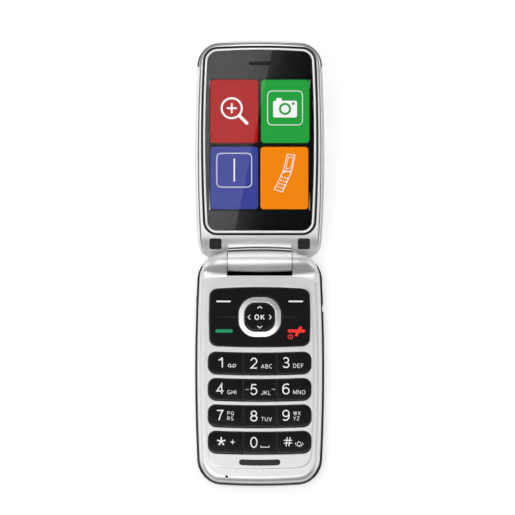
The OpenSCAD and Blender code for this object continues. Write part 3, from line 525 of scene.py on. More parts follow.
def linear(red: int, green: int, blue: int) -> Colour:
    """Scene colour of a screen colour given from 0 to 255."""
    share = [v / 255 for v in (red, green, blue)]
    r, g, b = (v / 12.92 if v <= 0.04045 else ((v + 0.055) / 1.055) ** 2.4 for v in share)
    return (r, g, b, 1.0)


def scaled(colour: Colour, factor: float) -> Colour:
    """A colour made darker or lighter by a factor."""
    return (colour[0] * factor, colour[1] * factor, colour[2] * factor, 1.0)


PITCH_BLACK = (0.004, 0.004, 0.004, 1.0)
COPPER_TRACK = (0.10, 0.22, 0.07, 1.0)
GOLD_PAD = (0.75, 0.52, 0.22, 1.0)


@dataclass(frozen=True)
class Finish:
    """What a piece is made of. Each kind below builds its own nodes, once."""

    name: str
    slot: str
    colour: Colour

    def material(self) -> bpy.types.Material:
        """The finish's material, built at its first use."""
        found = bpy.data.materials.get(self.name)
        if found:
            return found
        shader = Shader(self.name)
        self.build(shader)
        return shader.material

    def build(self, shader: Shader) -> None:
        """Fills the shader; each kind of finish has its own way."""
        raise NotImplementedError


@dataclass(frozen=True)
class Lacquer(Finish):
    """Metallic paint: fine flakes under a clear coat with a faint orange peel."""

    roughness: float = 0.34
    metal: float = 0.35
    flake: float = 0.07
    flake_scale: float = 9000.0
    peel_scale: float = 900.0

    def build(self, shader: Shader) -> None:
        """Small cells vary the colour and roughness; a soft noise gives the peel."""
        flakes = shader.cells(self.flake_scale)
        patches = shader.noise(90, 3)
        share = shader.maths("MULTIPLY", shader.maths("ADD", flakes, patches), 0.5)
        shader.set(
            Base_Color=shader.shades(share, self.colour, 1 - self.flake, 1 + self.flake / 2),
            Roughness=shader.remap(flakes, self.roughness - 0.05, self.roughness + 0.06),
            Metallic=self.metal,
            Coat_Weight=0.25,
            Coat_Roughness=0.12,
        )
        raised = shader.maths("MULTIPLY", flakes, 0.15)
        shader.bump(shader.maths("ADD", shader.noise(self.peel_scale, 1), raised), 0.08, 0.00003)


@dataclass(frozen=True)
class Moulded(Finish):
    """Moulded plastic with a fine spark-eroded grain."""

    roughness: float = 0.5
    grain: float = 5200.0
    depth: float = 0.25

    def build(self, shader: Shader) -> None:
        """Two noises make the grain; a slow one varies the gloss, as handling does."""
        grain = shader.noise(self.grain, 3, 0.6)
        slow = shader.noise(140, 3)
        shader.set(
            Base_Color=shader.shades(grain, self.colour, 0.88, 1.12),
            Roughness=shader.remap(slow, self.roughness - 0.06, self.roughness + 0.06),
        )
        shader.bump(grain, self.depth, 0.00003)


@dataclass(frozen=True)
class Gloss(Finish):
    """Polished plastic: a dark body whose mirror is broken by faint haze and waves."""

    roughness: float = 0.1
    specular: float = 0.4

    def build(self, shader: Shader) -> None:
        """A slow noise bends the surface a little, and a finer one gives the haze."""
        haze = shader.noise(420, 4, 0.6)
        shader.set(
            Base_Color=shader.shades(haze, self.colour, 0.85, 1.15),
            Roughness=shader.remap(haze, self.roughness * 0.6, self.roughness * 1.5),
            Specular_IOR_Level=self.specular,
        )
        shader.bump(shader.noise(160, 1), 0.1, 0.00004)


@dataclass(frozen=True)
class Plated(Finish):
    """Plated or bare metal with a slightly brushed gloss."""

    roughness: float = 0.2
    brush: float = 0.0
    metal: float = 1.0

    def build(self, shader: Shader) -> None:
        """Noise varies the gloss; brushed metal stretches it along X."""
        grain = shader.noise(7000, 3, coords=shader.stretched(1 - 0.97 * self.brush))
        shader.set(
            Base_Color=shader.shades(grain, self.colour, 0.94, 1.04),
            Roughness=shader.remap(grain, self.roughness * 0.75, self.roughness * 1.3),
            Metallic=self.metal,
        )
        shader.bump(grain, 0.03 + 0.2 * self.brush, 0.000006)


@dataclass(frozen=True)
class Rubber(Finish):
    """Soft rubber or silicone with a dusty, even grain."""

    roughness: float = 0.75

    def build(self, shader: Shader) -> None:
        """A fine noise makes the grain and the slight dust on it."""
        grain = shader.noise(3800, 4, 0.7)
        shader.set(
            Base_Color=shader.shades(grain, self.colour, 0.8, 1.25),
            Roughness=shader.remap(grain, self.roughness - 0.1, self.roughness + 0.1),
            Sheen_Weight=0.15,
        )
        shader.bump(grain, 0.3, 0.00004)


@dataclass(frozen=True)
class Clear(Finish):
    """Clear lens with faint wipe marks in its gloss."""

    index: float = 1.45

    def build(self, shader: Shader) -> None:
        """Light passes through; a stretched noise gives the marks."""
        marks = shader.noise(300, 3, coords=shader.stretched(0.2, 0.6))
        shader.set(
            Base_Color=self.colour,
            Roughness=shader.remap(marks, 0.0, 0.008),
            Transmission_Weight=1.0,
            IOR=self.index,
        )


@dataclass(frozen=True)
class Lit(Finish):
    """A lit patch of the display, with the fine grid of its picture points."""

    strength: float = 1.0
    pitch: float = 0.00018

    def build(self, shader: Shader) -> None:
        """Two fine waves, along X and Y, darken the borders of the picture points."""
        points = shader.remap(shader.waves(self.pitch), 0.0, 1.0, (-2.0, 2.0))
        shader.set(
            Base_Color=PITCH_BLACK,
            Roughness=0.4,
            Specular_IOR_Level=0.05,
            Emission_Color=shader.shades(points, self.colour, 0.93, 1.03),
            Emission_Strength=self.strength,
        )


@dataclass(frozen=True)
class Ink(Finish):
    """Printed or laser-etched mark with a slightly uneven edge to its gloss."""

    roughness: float = 0.45
    specular: float = 0.3

    def build(self, shader: Shader) -> None:
        """A fine noise makes the print a little uneven."""
        grain = shader.noise(5000, 2)
        shader.set(
            Base_Color=shader.shades(grain, self.colour, 0.93, 1.05),
            Roughness=shader.remap(grain, self.roughness - 0.08, self.roughness + 0.08),
            Specular_IOR_Level=self.specular,
        )
        shader.bump(grain, 0.1, 0.00002)


@dataclass(frozen=True)
class Board(Finish):
    """Circuit board: lacquered laminate with straight copper tracks and pads."""

    def build(self, shader: Shader) -> None:
        """A brick pattern draws the tracks, and cells the pads."""
        links = {"Vector": shader.coords, "Scale": 260.0, "Mortar Size": 0.03}
        colours = {"Color1": self.colour, "Color2": scaled(self.colour, 0.8), "Mortar": COPPER_TRACK}
        brick = shader.add("TexBrick", links | colours)
        pads = shader.add("TexVoronoi", {"Vector": shader.coords, "Scale": 520.0}).outputs["Distance"]
        spot = shader.remap(pads, 1.0, 0.0, (0.16, 0.2))
        shader.set(
            Base_Color=shader.mix(spot, brick.outputs[0], GOLD_PAD),
            Metallic=shader.maths("MULTIPLY", spot, 0.9),
            Roughness=shader.remap(spot, 0.35, 0.25),
        )
        shader.bump(brick.outputs["Fac"], 0.2, 0.00003)


@dataclass(frozen=True)
class Striped(Finish):
    """Wrap or film with fine lines across it, as on a cell's sleeve or a flex cable."""

    second: Colour = (0.2, 0.2, 0.2, 1.0)
    scale: float = 300.0
    roughness: float = 0.35

    def build(self, shader: Shader) -> None:
        """A wave along X mixes the two colours."""
        links = {"Vector": shader.coords, "Scale": self.scale, "Distortion": 0.3}
        wave = shader.add("TexWave", links, bands_direction="X").outputs["Fac"]
        line = shader.remap(wave, 0.0, 1.0, (0.75, 0.85))
        shader.set(
            Base_Color=shader.mix(line, self.colour, self.second),
            Roughness=shader.remap(shader.noise(900), self.roughness - 0.05, self.roughness + 0.08),
        )
        shader.bump(line, 0.1, 0.00002)


@dataclass(frozen=True)
class Perforated(Finish):
    """Thin metal sheet with rows of tiny round holes."""

    pitch: float = 0.0005

    def build(self, shader: Shader) -> None:
        """Two waves make the rows of holes, which are dark and sunk."""
        hole = shader.remap(shader.waves(self.pitch), 0.0, 1.0, (0.5, 1.1))
        shader.set(
            Base_Color=shader.mix(hole, self.colour, PITCH_BLACK),
            Metallic=shader.remap(hole, 0.8, 0.0),
            Roughness=shader.remap(hole, 0.4, 0.9),
        )
        shader.bump(hole, -0.6, 0.0001)


SILVER = Lacquer("silver_lacquer", "silver_paint", linear(214, 214, 215), roughness=0.4, metal=0.66)
# Same silver lacquer as the base, made lighter: painted light that brightens the lid's face, which tilts away
# from the lamps.
LID_SILVER_BRIGHTENED = Lacquer("lid_lacquer_painted_light", "silver_paint", linear(234, 234, 235), roughness=0.42, metal=0.66)
FRAME_SILVER = Lacquer("frame_lacquer", "silver_paint", linear(222, 222, 223), roughness=0.3, metal=0.45)
BACK_PLASTIC = Moulded("rear_shell_plastic", "dark_plastic", linear(24, 24, 26), roughness=0.55)
# Dark grey for the floors of the neck's grooves: painted shade, since the floors would otherwise catch the
# light.
GROOVE_SHADE_PAINT = Moulded("groove_painted_shade", "dark_plastic", linear(62, 62, 64), roughness=0.5)
COVER_PLASTIC = Moulded("battery_cover_plastic", "dark_plastic", linear(42, 42, 45), depth=0.5, grain=3000)
CAP_PLASTIC = Gloss("end_cap_gloss", "gloss_black", linear(22, 23, 25), roughness=0.16)
KEY_GLOSS = Gloss("key_gloss", "gloss_black", linear(15, 15, 17), roughness=0.14, specular=0.3)
WINDOW_GLOSS = Gloss("window_gloss", "gloss_black", linear(14, 15, 18), roughness=0.06)
CAMERA_GLASS = Gloss("camera_gloss", "display_glass", linear(10, 11, 16), roughness=0.05)
CHROME = Plated("bright_plating", "bright_trim", linear(250, 250, 251), roughness=0.3, metal=0.25)
RING_METAL = Plated("ring_plating", "bright_trim", linear(218, 219, 220), roughness=0.33, metal=0.9)
RAIL_METAL = Plated("rail_plating", "bright_trim", linear(252, 252, 253), roughness=0.3, metal=0.15)
BLACK_RUBBER = Rubber("black_rubber_skin", "black_rubber", linear(30, 31, 33))
SEAL_RUBBER = Rubber("seal_rubber_skin", "black_rubber", linear(12, 12, 13), roughness=0.8)
PLUG_RUBBER = Rubber("plug_rubber_skin", "black_rubber", linear(19, 19, 20), roughness=0.8)
GLASS = Clear("lens_glass", "display_glass", (0.98, 0.98, 0.98, 1), index=1.22)
MASK_INK = Ink("lens_mask_ink", "display_glass", linear(7, 7, 8), roughness=0.08, specular=0.4)
LEGEND_INK = Ink("legend_ink", "gloss_black", linear(246, 247, 248))
OK_INK = Ink("function_ink", "gloss_black", linear(232, 234, 236))
GREEN_INK = Ink("call_ink", "gloss_black", linear(0, 148, 96))
RED_INK = Ink("end_ink", "gloss_black", linear(255, 45, 32))
STEEL = Plated("bare_steel", "steel", linear(176, 178, 182), roughness=0.3, brush=1.0)
CAN_STEEL = Plated("can_steel", "steel", linear(200, 202, 205), roughness=0.38, brush=0.6)
BOARD_GREEN = Board("board_laminate", "circuit_board", linear(24, 92, 58))
COMPONENT = Moulded("component_resin", "black_component", linear(36, 37, 40), roughness=0.6)
LIGHT_GUIDE = Moulded("light_guide_plastic", "light_guide", linear(222, 228, 234), roughness=0.25, depth=0.1)
MAT_SILICONE = Rubber("keypad_silicone", "silicone", linear(150, 153, 157), roughness=0.6)
DOME_FILM = Plated("dome_foil", "dome_film", linear(222, 216, 196), roughness=0.35, metal=0.5)
CELL_WRAP = Striped("cell_wrap", "battery_wrap", linear(66, 84, 108), second=linear(52, 66, 88), scale=60)
CONTACT_GOLD = Plated("contact_gold", "contact_metal", linear(222, 176, 98), roughness=0.25)
FLEX = Striped("flex_film_copper", "flex_film", linear(176, 108, 46), second=linear(226, 164, 92), scale=500)
PANEL_DARK = Gloss("panel_polariser", "display_panel", linear(8, 9, 11), roughness=0.3, specular=0.08)
WHITE_GLOW = Lit("tile_white", "display_panel", linear(250, 250, 250))
EARPIECE_MESH = Perforated("perforated_sheet", "mesh_metal", linear(30, 31, 33))

# ---------------------------------------------------------------- shared plans

BASE_PLAN = Outline(28.2, 51.3, 10, 1.5, 1.3, 1.3)
LID_PLAN = Outline(28.2, 50.7, 9, 1.5, 1.0, 1.4, centre_y=-46.1, end_share=0.45)
LENS_PLAN = Outline(23.75, 40.05, 4.1, 1.2, 0.0, 0.9, centre_y=-53.45)
NAV_PLAN = Outline(22.0, 13.15, 3, 0.4, 0.9, 0.6, centre_y=22.05)
RING_PLAN = Outline(9.2, 8.85, 7, 0.3, 0.3, 0.3, centre_y=22.05)


def stacked(plan: Outline, steps: Array, arc: int = 16, side: int = 24) -> Array:
    """Rings of an outline, one above the other."""
    return np.array([at_height(plan.ring(inset, arc, side), height) for inset, height in steps])


def swept(plan: Outline, section: Array, arc: int, side: int) -> Array:
    """A section of pairs (inset, height) carried round an outline, as band takes it."""
    return stacked(plan, section, arc, side).swapaxes(0, 1)


# ---------------------------------------------------------------- flat marks


@dataclass
class Marks:
    """Thin raised marks, gathered into one piece that follows the surface under it.

    A point is kept as x, y, whether it is on the upper side, and a trace of height. On
    the lid, y is the distance from the hinge axis and heights are counted towards the
    viewer.
    """

    name: str
    half: Half
    surface: Surface
    rise: float = 0.02
    sink: float = 0.03
    trace: float = 0.0015
    points: list[Array] = field(default_factory=list)
    faces: list[list[int]] = field(default_factory=list)
    count: int = 0

    def keep(self, flat: Array, upper: Array, faces: list[list[int]]) -> None:
        """Adds one shape, a trace higher than the last, so that no two share a plane."""
        lift = np.full(len(flat), self.trace * (len(self.points) % 8))
        self.points.append(np.column_stack([flat, upper, lift]))
        self.faces += [[k + self.count for k in face] for face in faces]
        self.count += len(flat)

    def patch(self, ring: Array) -> None:
        """Filled shape with the ring (n, 2) as its border."""
        n = len(ring)
        self.keep(np.concatenate([ring, ring]), np.repeat([0, 1], n), capped_faces(2, n))

    def line(self, path: Array, width: float, closed: bool = False) -> None:
        """Line of even width: each point is set off along its mitre to both sides."""
        path = np.asarray(path, float)
        if closed:
            before, after = path - np.roll(path, 1, 0), np.roll(path, -1, 0) - path
        else:
            steps = np.diff(path, axis=0)
            before, after = np.vstack([steps[:1], steps]), np.vstack([steps, steps[-1:]])
        before /= np.linalg.norm(before, axis=1, keepdims=True)
        after /= np.linalg.norm(after, axis=1, keepdims=True)
        mean = before + after
        mean /= np.linalg.norm(mean, axis=1, keepdims=True)
        normal = np.stack([-mean[:, 1], mean[:, 0]], axis=1)
        mitre = width / 2 / np.maximum((mean * after).sum(1), 0.3)
        left, right = path + normal * mitre[:, None], path - normal * mitre[:, None]
        n = len(path)
        flat = np.stack([left, right, right, left], axis=1).reshape(-1, 2)
        upper = np.tile([0, 0, 1, 1], n)
        faces = grid_faces(n + 1 if closed else n, 4, True) % (4 * n)
        ends = [] if closed else [[0, 1, 2, 3], [4 * n - 1, 4 * n - 2, 4 * n - 3, 4 * n - 4]]
        self.keep(flat, upper, faces.tolist() + ends)

    def write(self, text: str, at: Pair, height: float, stroke: float, gap: float = 0) -> None:
        """Letters and digits in strokes of even width.

        Args:
            text: The signs, each of them in GLYPHS.
            at: Left edge of the first sign and lower edge of all.
            height: Height of the signs.
            stroke: Width of their strokes.
            gap: Clear space between two signs.
        """
        x, y = at
        tall = height - stroke
        for sign in text:
            width, strokes = GLYPHS[sign]
            for path in strokes:
                self.line(densified(path * tall, 0.35) + [x + stroke / 2, y + stroke / 2], stroke)
            x += width * tall + stroke + gap

    def build(self, finish: Finish, body: str) -> Piece:
        """Makes the piece: a point's height is the surface's, plus rise or minus sink."""
        flat = np.concatenate(self.points)
        height = self.surface(flat[:, 0], flat[:, 1])
        z = height + np.where(flat[:, 2] > 0.5, self.rise + flat[:, 3], -self.sink)
        points = np.column_stack([flat[:, :2], z])
        if self.half is Half.LID:
            points = turned_to_open_lid(points * np.array([1, -1, -1]))
        return settle(new_object(self.name, points, self.faces, 40), body, finish)


def densified(path: Array, step: float) -> Array:
    """A path without doubled points, and with extra ones on its long stretches."""
    apart = np.linalg.norm(np.diff(path, axis=0), axis=1) > 1e-6
    path = path[np.insert(apart, 0, True)]
    points = [path[:1]]
    for start, end in zip(path[:-1], path[1:]):
        count = max(1, math.ceil(np.linalg.norm(end - start) / step))
        points.append(start + (end - start) * (np.arange(1, count + 1) / count)[:, None])
    return np.concatenate(points)


def arc(x: float, y: float, rx: float, ry: float, start: float, stop: float, steps: int = 14) -> list:
    """Points on an ellipse about (x, y) from one angle in degrees to another."""
    t = np.radians(np.linspace(start, stop, steps))
    return np.stack([x + rx * np.cos(t), y + ry * np.sin(t)], axis=1).tolist()


def glyph(width: float, *strokes: list) -> tuple[float, list[Array]]:
    """A sign of height 1: its width and the paths of its strokes."""
    return width, [np.array(path, float) for path in strokes]


GLYPHS = {
    "0": glyph(0.62, arc(0.31, 0.5, 0.31, 0.5, 0, 360, 30)),
    "1": glyph(0.4, [(0.02, 0.74), (0.2, 0.8), (0.36, 1)], [(0.4, 1), (0.4, 0)]),
    "2": glyph(0.62, arc(0.31, 0.7, 0.29, 0.3, 172, -32) + [(0.02, 0), (0.62, 0)]),
    "3": glyph(0.62, arc(0.3, 0.75, 0.26, 0.25, 152, -90) + arc(0.3, 0.25, 0.31, 0.25, 84, -155)),
    "4": glyph(0.66, [(0.48, 0), (0.48, 1), (0, 0.29), (0.66, 0.29)]),
    "5": glyph(0.6, [(0.56, 1), (0.13, 1), (0.053, 0.53)] + arc(0.29, 0.32, 0.31, 0.32, 135, -155)),
    "6": glyph(0.62, arc(0.31, 0.31, 0.31, 0.31, 0, 360, 24),
               arc(0.38, 0.6, 0.38, 0.4, 52, 180) + [(0, 0.31)]),
    "7": glyph(0.6, [(0, 1), (0.6, 1), (0.36, 0.58), (0.2, 0)]),
    "8": glyph(0.62, arc(0.31, 0.75, 0.26, 0.25, 0, 360, 24), arc(0.31, 0.26, 0.31, 0.26, 0, 360, 24)),
    "9": glyph(0.62, arc(0.31, 0.69, 0.31, 0.31, 0, 360, 24),
               [(0.62, 0.69)] + arc(0.24, 0.4, 0.38, 0.4, 0, -128)),
    "A": glyph(0.7, [(0, 0), (0.35, 1), (0.7, 0)], [(0.12, 0.33), (0.58, 0.33)]),
    "B": glyph(0.62, [(0, 0), (0, 1), (0.34, 1)] + arc(0.34, 0.76, 0.23, 0.24, 90, -90) + [(0, 0.52)],
               [(0.3, 0.52)] + arc(0.36, 0.26, 0.26, 0.26, 90, -90) + [(0, 0)]),
    "C": glyph(0.7, arc(0.38, 0.5, 0.38, 0.5, 44, 316, 22)),
    "D": glyph(0.7, [(0, 0), (0, 1), (0.28, 1)] + arc(0.28, 0.5, 0.42, 0.5, 90, -90) + [(0, 0)]),
    "E": glyph(0.58, [(0.58, 1), (0, 1), (0, 0), (0.58, 0)], [(0, 0.52), (0.52, 0.52)]),
    "F": glyph(0.56, [(0.56, 1), (0, 1), (0, 0)], [(0, 0.5), (0.48, 0.5)]),
    "G": glyph(0.76, arc(0.38, 0.5, 0.38, 0.5, 46, 322, 22), [(0.42, 0.46), (0.76, 0.46), (0.76, 0.04)]),
    "H": glyph(0.66, [(0, 0), (0, 1)], [(0.66, 0), (0.66, 1)], [(0, 0.52), (0.66, 0.52)]),
    "I": glyph(0.02, [(0.01, 0), (0.01, 1)]),
    "J": glyph(0.48, [(0.48, 1), (0.48, 0.24)] + arc(0.24, 0.24, 0.24, 0.24, 0, -180, 10)),
    "K": glyph(0.66, [(0, 0), (0, 1)], [(0.62, 1), (0, 0.38)], [(0.24, 0.6), (0.66, 0)]),
    "L": glyph(0.52, [(0, 1), (0, 0), (0.52, 0)]),
    "M": glyph(0.8, [(0, 0), (0, 1), (0.4, 0.12), (0.8, 1), (0.8, 0)]),
    "N": glyph(0.68, [(0, 0), (0, 1), (0.68, 0), (0.68, 1)]),
    "O": glyph(0.8, arc(0.4, 0.5, 0.4, 0.5, 0, 360, 30)),
    "P": glyph(0.62, [(0, 0), (0, 1), (0.34, 1)] + arc(0.34, 0.74, 0.28, 0.26, 90, -90) + [(0, 0.48)]),
    "Q": glyph(0.8, arc(0.4, 0.5, 0.4, 0.5, 0, 360, 30), [(0.5, 0.24), (0.8, -0.04)]),
    "R": glyph(0.64, [(0, 0), (0, 1), (0.34, 1)] + arc(0.34, 0.74, 0.28, 0.26, 90, -90) + [(0, 0.48)],
               [(0.32, 0.48), (0.64, 0)]),
    "S": glyph(0.62, arc(0.31, 0.74, 0.28, 0.26, 38, 270) + arc(0.31, 0.24, 0.31, 0.24, 84, -148)),
    "T": glyph(0.6, [(0, 1), (0.6, 1)], [(0.3, 1), (0.3, 0)]),
    "U": glyph(0.64, [(0, 1), (0, 0.32)] + arc(0.32, 0.32, 0.32, 0.32, 184, 356) + [(0.64, 1)]),
    "V": glyph(0.66, [(0, 1), (0.33, 0), (0.66, 1)]),
    "W": glyph(0.96, [(0, 1), (0.24, 0), (0.48, 0.95), (0.72, 0), (0.96, 1)]),
    "X": glyph(0.66, [(0, 1), (0.66, 0)], [(0, 0), (0.66, 1)]),
    "Y": glyph(0.66, [(0, 1), (0.33, 0.45), (0.66, 1)], [(0.33, 0.45), (0.33, 0)]),
    "Z": glyph(0.62, [(0, 1), (0.62, 1), (0, 0), (0.62, 0)]),
}


def circle(x: float, y: float, radius: float, steps: int = 28) -> Array:
    """Points round a circle."""
    t = np.linspace(0, 2 * np.pi, steps, endpoint=False)
    return np.stack([x + radius * np.cos(t), y + radius * np.sin(t)], axis=1)


def lozenge(x0: float, x1: float, y: float, width: float) -> Array:
    """Bar with round ends from x0 to x1."""
    r = width / 2
    return even_rect(((x1 - x0) / 2, r), r * ROUND_END, 6, 3, ((x0 + x1) / 2, y))


def level(height: float) -> Surface:
    """Surface of one height everywhere."""
    return lambda x, y: np.full(np.shape(x), height)


# ---------------------------------------------------------------- lower half


@dataclass
class FrontHousing:
    """Silver shell that frames the keys, with the shoulders that carry the lid."""

    rim: float = 1.0
    near_grow: float = 0.45
    near_start: float = -44.0
    near_reach: float = 5.0
    edge_run: float = 2.4
    edge_rise: float = 1.9
    plateau: Outline = Outline(24.2, 41.6, 6, 1.5, 0.6, 0.9, centre_y=-4.0)
    step_start: float = 0.25
    step_run: float = 0.9
    window_gap: float = 0.12
    window_round: float = 0.36
    window_foot: float = 8.0
    wall: float = 2.1
    cavity_top: float = 39.3
    heel_radius: float = 4.6
    heel_slope: float = math.radians(40)
    heel_reach: float = 9.0
    cut_end: float = -98.0
    cut_half: float = 60.0
    pocket_radius: float = 6.2
    bore_depth: float = 19.45
    shaft_radius: float = 1.62
    collar_radius: float = 2.32
    shoulder_start: float = 14.3
    shoulder_end: float = 25.12
    shoulder_radius: float = 4.3
    shoulder_turn: float = 1.7 * math.pi
    shoulder_foot: float = 0.9
    fillet: float = 3.2
    sink: Pair = (3.0, 1.4)
    bumper_gap: float = 0.05
    mic_hole: Point = (-14.4, -48.3, 0.6)

    def build(self) -> None:
        """Rounded shell, cut by the hinge's profile, the windows, the pocket and the ports."""
        obj = skin("front_housing", self.outer_rings())
        profile = prism_across("profile", self.side_view(), (-self.cut_half, self.cut_half))
        combine(obj, [profile], Join.COMMON)
        combine(obj, [self.shoulder(1), self.shoulder(-1)], Join.ADD)
        right = drum("bore", (0.0, self.bore_depth), self.shaft_radius, 48, 0.01)
        left = drum("bore", (-self.bore_depth, 0.0), self.collar_radius, 48, 0.01)
        combine(obj, [right, left])
        combine(obj, self.cutters())
        shade(obj.data, 32)
        soften(obj, 0.12, 38)
        settle(obj, "base", SILVER, "base_front_housing")

    def outer_rings(self) -> Array:
        """Rings up the rounded edge, across to the plateau's foot and up its soft step."""
        edge = round_the_edge(self.rim, BASE_TOP, (self.edge_run, self.edge_rise), 12)
        rings = stacked(BASE_PLAN, np.vstack([[self.rim, SEAM_HEIGHT], edge]))
        near = np.clip((self.near_start - rings[..., 1]) / self.near_reach, 0, 1)
        rings[..., 1] -= self.near_grow * eased(near)
        share = np.linspace(0, 1, 8)
        height = BASE_TOP + eased(share) * (PLATEAU_TOP - BASE_TOP)
        rise = stacked(self.plateau, np.column_stack([self.step_start + self.step_run * share, height]))
        return np.concatenate([rings, rise])

    def side_view(self) -> Array:
        """Outline (Y, Z) that the shell keeps within: it ends in a slope down to the heel."""
        c, s = math.cos(self.heel_slope), math.sin(self.heel_slope)
        heel = (HINGE_Y + self.heel_radius * s, HINGE_Z - self.heel_radius * c)
        foot = (heel[0] - self.heel_reach * c, heel[1] - self.heel_reach * s)
        return np.array([(self.cut_end, foot[1]), foot, heel, (HINGE_Y, HINGE_Z), (self.cut_end, HINGE_Z)])

    def shoulder(self, side: int) -> Piece:
        """Shoulder beside the barrel, with a hollow fillet down to the face in front of it.

        The section of radius r has a fillet of radius f that touches the face, which is
        over below the section's middle, so the fillet's middle is r + f away from it. Across
        the phone the section is scaled by sqrt(1 - s^2) as s runs from 0 to 1 outwards, its
        middle moves towards the corner with the cube of s, and its foot stays on the face.
        """
        r, f, over = self.shoulder_radius, self.fillet, HINGE_Z - BASE_TOP
        reach = math.sqrt((r + f) ** 2 - (f - over) ** 2)
        t = np.linspace(-math.pi / 2, math.atan2(over - f, reach), 10)[:-1]
        hollow = np.column_stack([f * np.cos(t) - reach, f - over + f * np.sin(t)])
        first = math.atan2(f - over, -reach)
        t = np.linspace(first, first - self.shoulder_turn, 40)
        foot = [-reach, -over - self.shoulder_foot]
        section = np.vstack([foot, hollow, r * np.column_stack([np.cos(t), np.sin(t)])])
        s = np.sin(np.linspace(0, np.pi / 2, 20))[:, None]
        scale = np.maximum(np.sqrt(1 - s * s), 0.02)
        x = side * (self.shoulder_start + (self.shoulder_end - self.shoulder_start) * s)
        joint = r * math.cos(first)
        hold = np.clip((joint - section[:, 0]) / (joint + reach), 0, 1)
        y = HINGE_Y - self.sink[0] * s**3 + (scale + (1 - scale) * hold) * section[:, 0]
        rise = np.maximum((over + r * scale - self.sink[1] * s**3) / (over + r), 0.02)
        z = BASE_TOP + rise * (section[:, 1] + over)
        return skin("shoulder", np.stack([np.broadcast_to(x, y.shape), y, z], axis=-1))

    def window(self, ring_at: Plan) -> Piece:
        """Cutter of a window whose upper edge is rounded outwards."""
        size = (self.window_round, self.window_round)
        steps = [(self.window_gap, self.window_foot)] + round_the_edge(self.window_gap, PLATEAU_TOP, size, 5)
        edge = self.window_gap + self.window_round + 0.03
        steps += [(edge, PLATEAU_TOP + 0.05), (edge, PLATEAU_TOP + 1)]
        return skin("window", np.array([at_height(ring_at(grow), z) for grow, z in steps]))

    def cutters(self) -> list[Piece]:
        """Everything that is cut out of the shell."""
        inside = BASE_PLAN.ring(self.wall)
        inside[:, 1] = np.minimum(inside[:, 1], self.cavity_top)
        pocket = (-self.shoulder_start, self.shoulder_start)
        return [
            prism("cavity", inside, 4.0, FACE_UNDERSIDE),
            drum("pocket", pocket, self.pocket_radius, 96, 0.03),
            self.window(lambda grow: NAV_PLAN.ring(-grow)),
            *(self.window(KEYPAD.row_window(row)) for row in range(4)),
            prism("seat", BUMPER.ring(self.bumper_gap), 10.0, 12.0),
            prism("mic_hole", circle(*self.mic_hole), 5.0, 12.0),
            port("usb_gap", (-29, -25), -13.3, (3.75, 6.55), 7.9, 0.3),
            port("jack_gap", (25, 29), 27.2, (1.75, 6.25), 4.5, ROUND_END),
        ]


def port(name: str, ends: Pair, y: float, heights: Pair, width: float, share: float) -> Piece:
    """Opening through a side wall, with rounded corners."""
    low, high = heights
    radius = min(high - low, width) / 2 * share
    ring = even_rect((width / 2, (high - low) / 2), radius, 8, 3, (y, (low + high) / 2))
    return prism_across(name, ring, ends)


@dataclass
class Bumper:
    """Rubber strip near the bottom end, that the closed lid lands on."""

    half_w: float = 8.95
    half_l: float = 1.25
    centre_y: float = -42.0
    sag: float = 0.25
    foot: float = 10.0
    top: float = 11.25
    edge: Pair = (0.45, 0.4)

    def ring(self, grow: float) -> Array:
        """Strip with round ends; y falls by sag * (1 - (x / half width)^2)."""
        a, b = self.half_w + grow, self.half_l + grow
        ring = even_rect((a, b), b * ROUND_END, 12, 16)
        sag = self.sag * ((ring[:, 0] / self.half_w) ** 2 - 1)
        return ring + np.column_stack([np.zeros(len(ring)), self.centre_y + sag])

    def build(self) -> None:
        """Straight sides and a rounded, slightly crowned top."""
        steps = [(0.0, self.foot)] + round_the_edge(0.0, self.top, self.edge, 7)
        steps += [(0.8, self.top + 0.02), (1.1, self.top + 0.03)]
        obj = skin("rest_strip", np.array([at_height(self.ring(-inset), z) for inset, z in steps]))
        settle(obj, "base", BLACK_RUBBER, "rest_bumper")


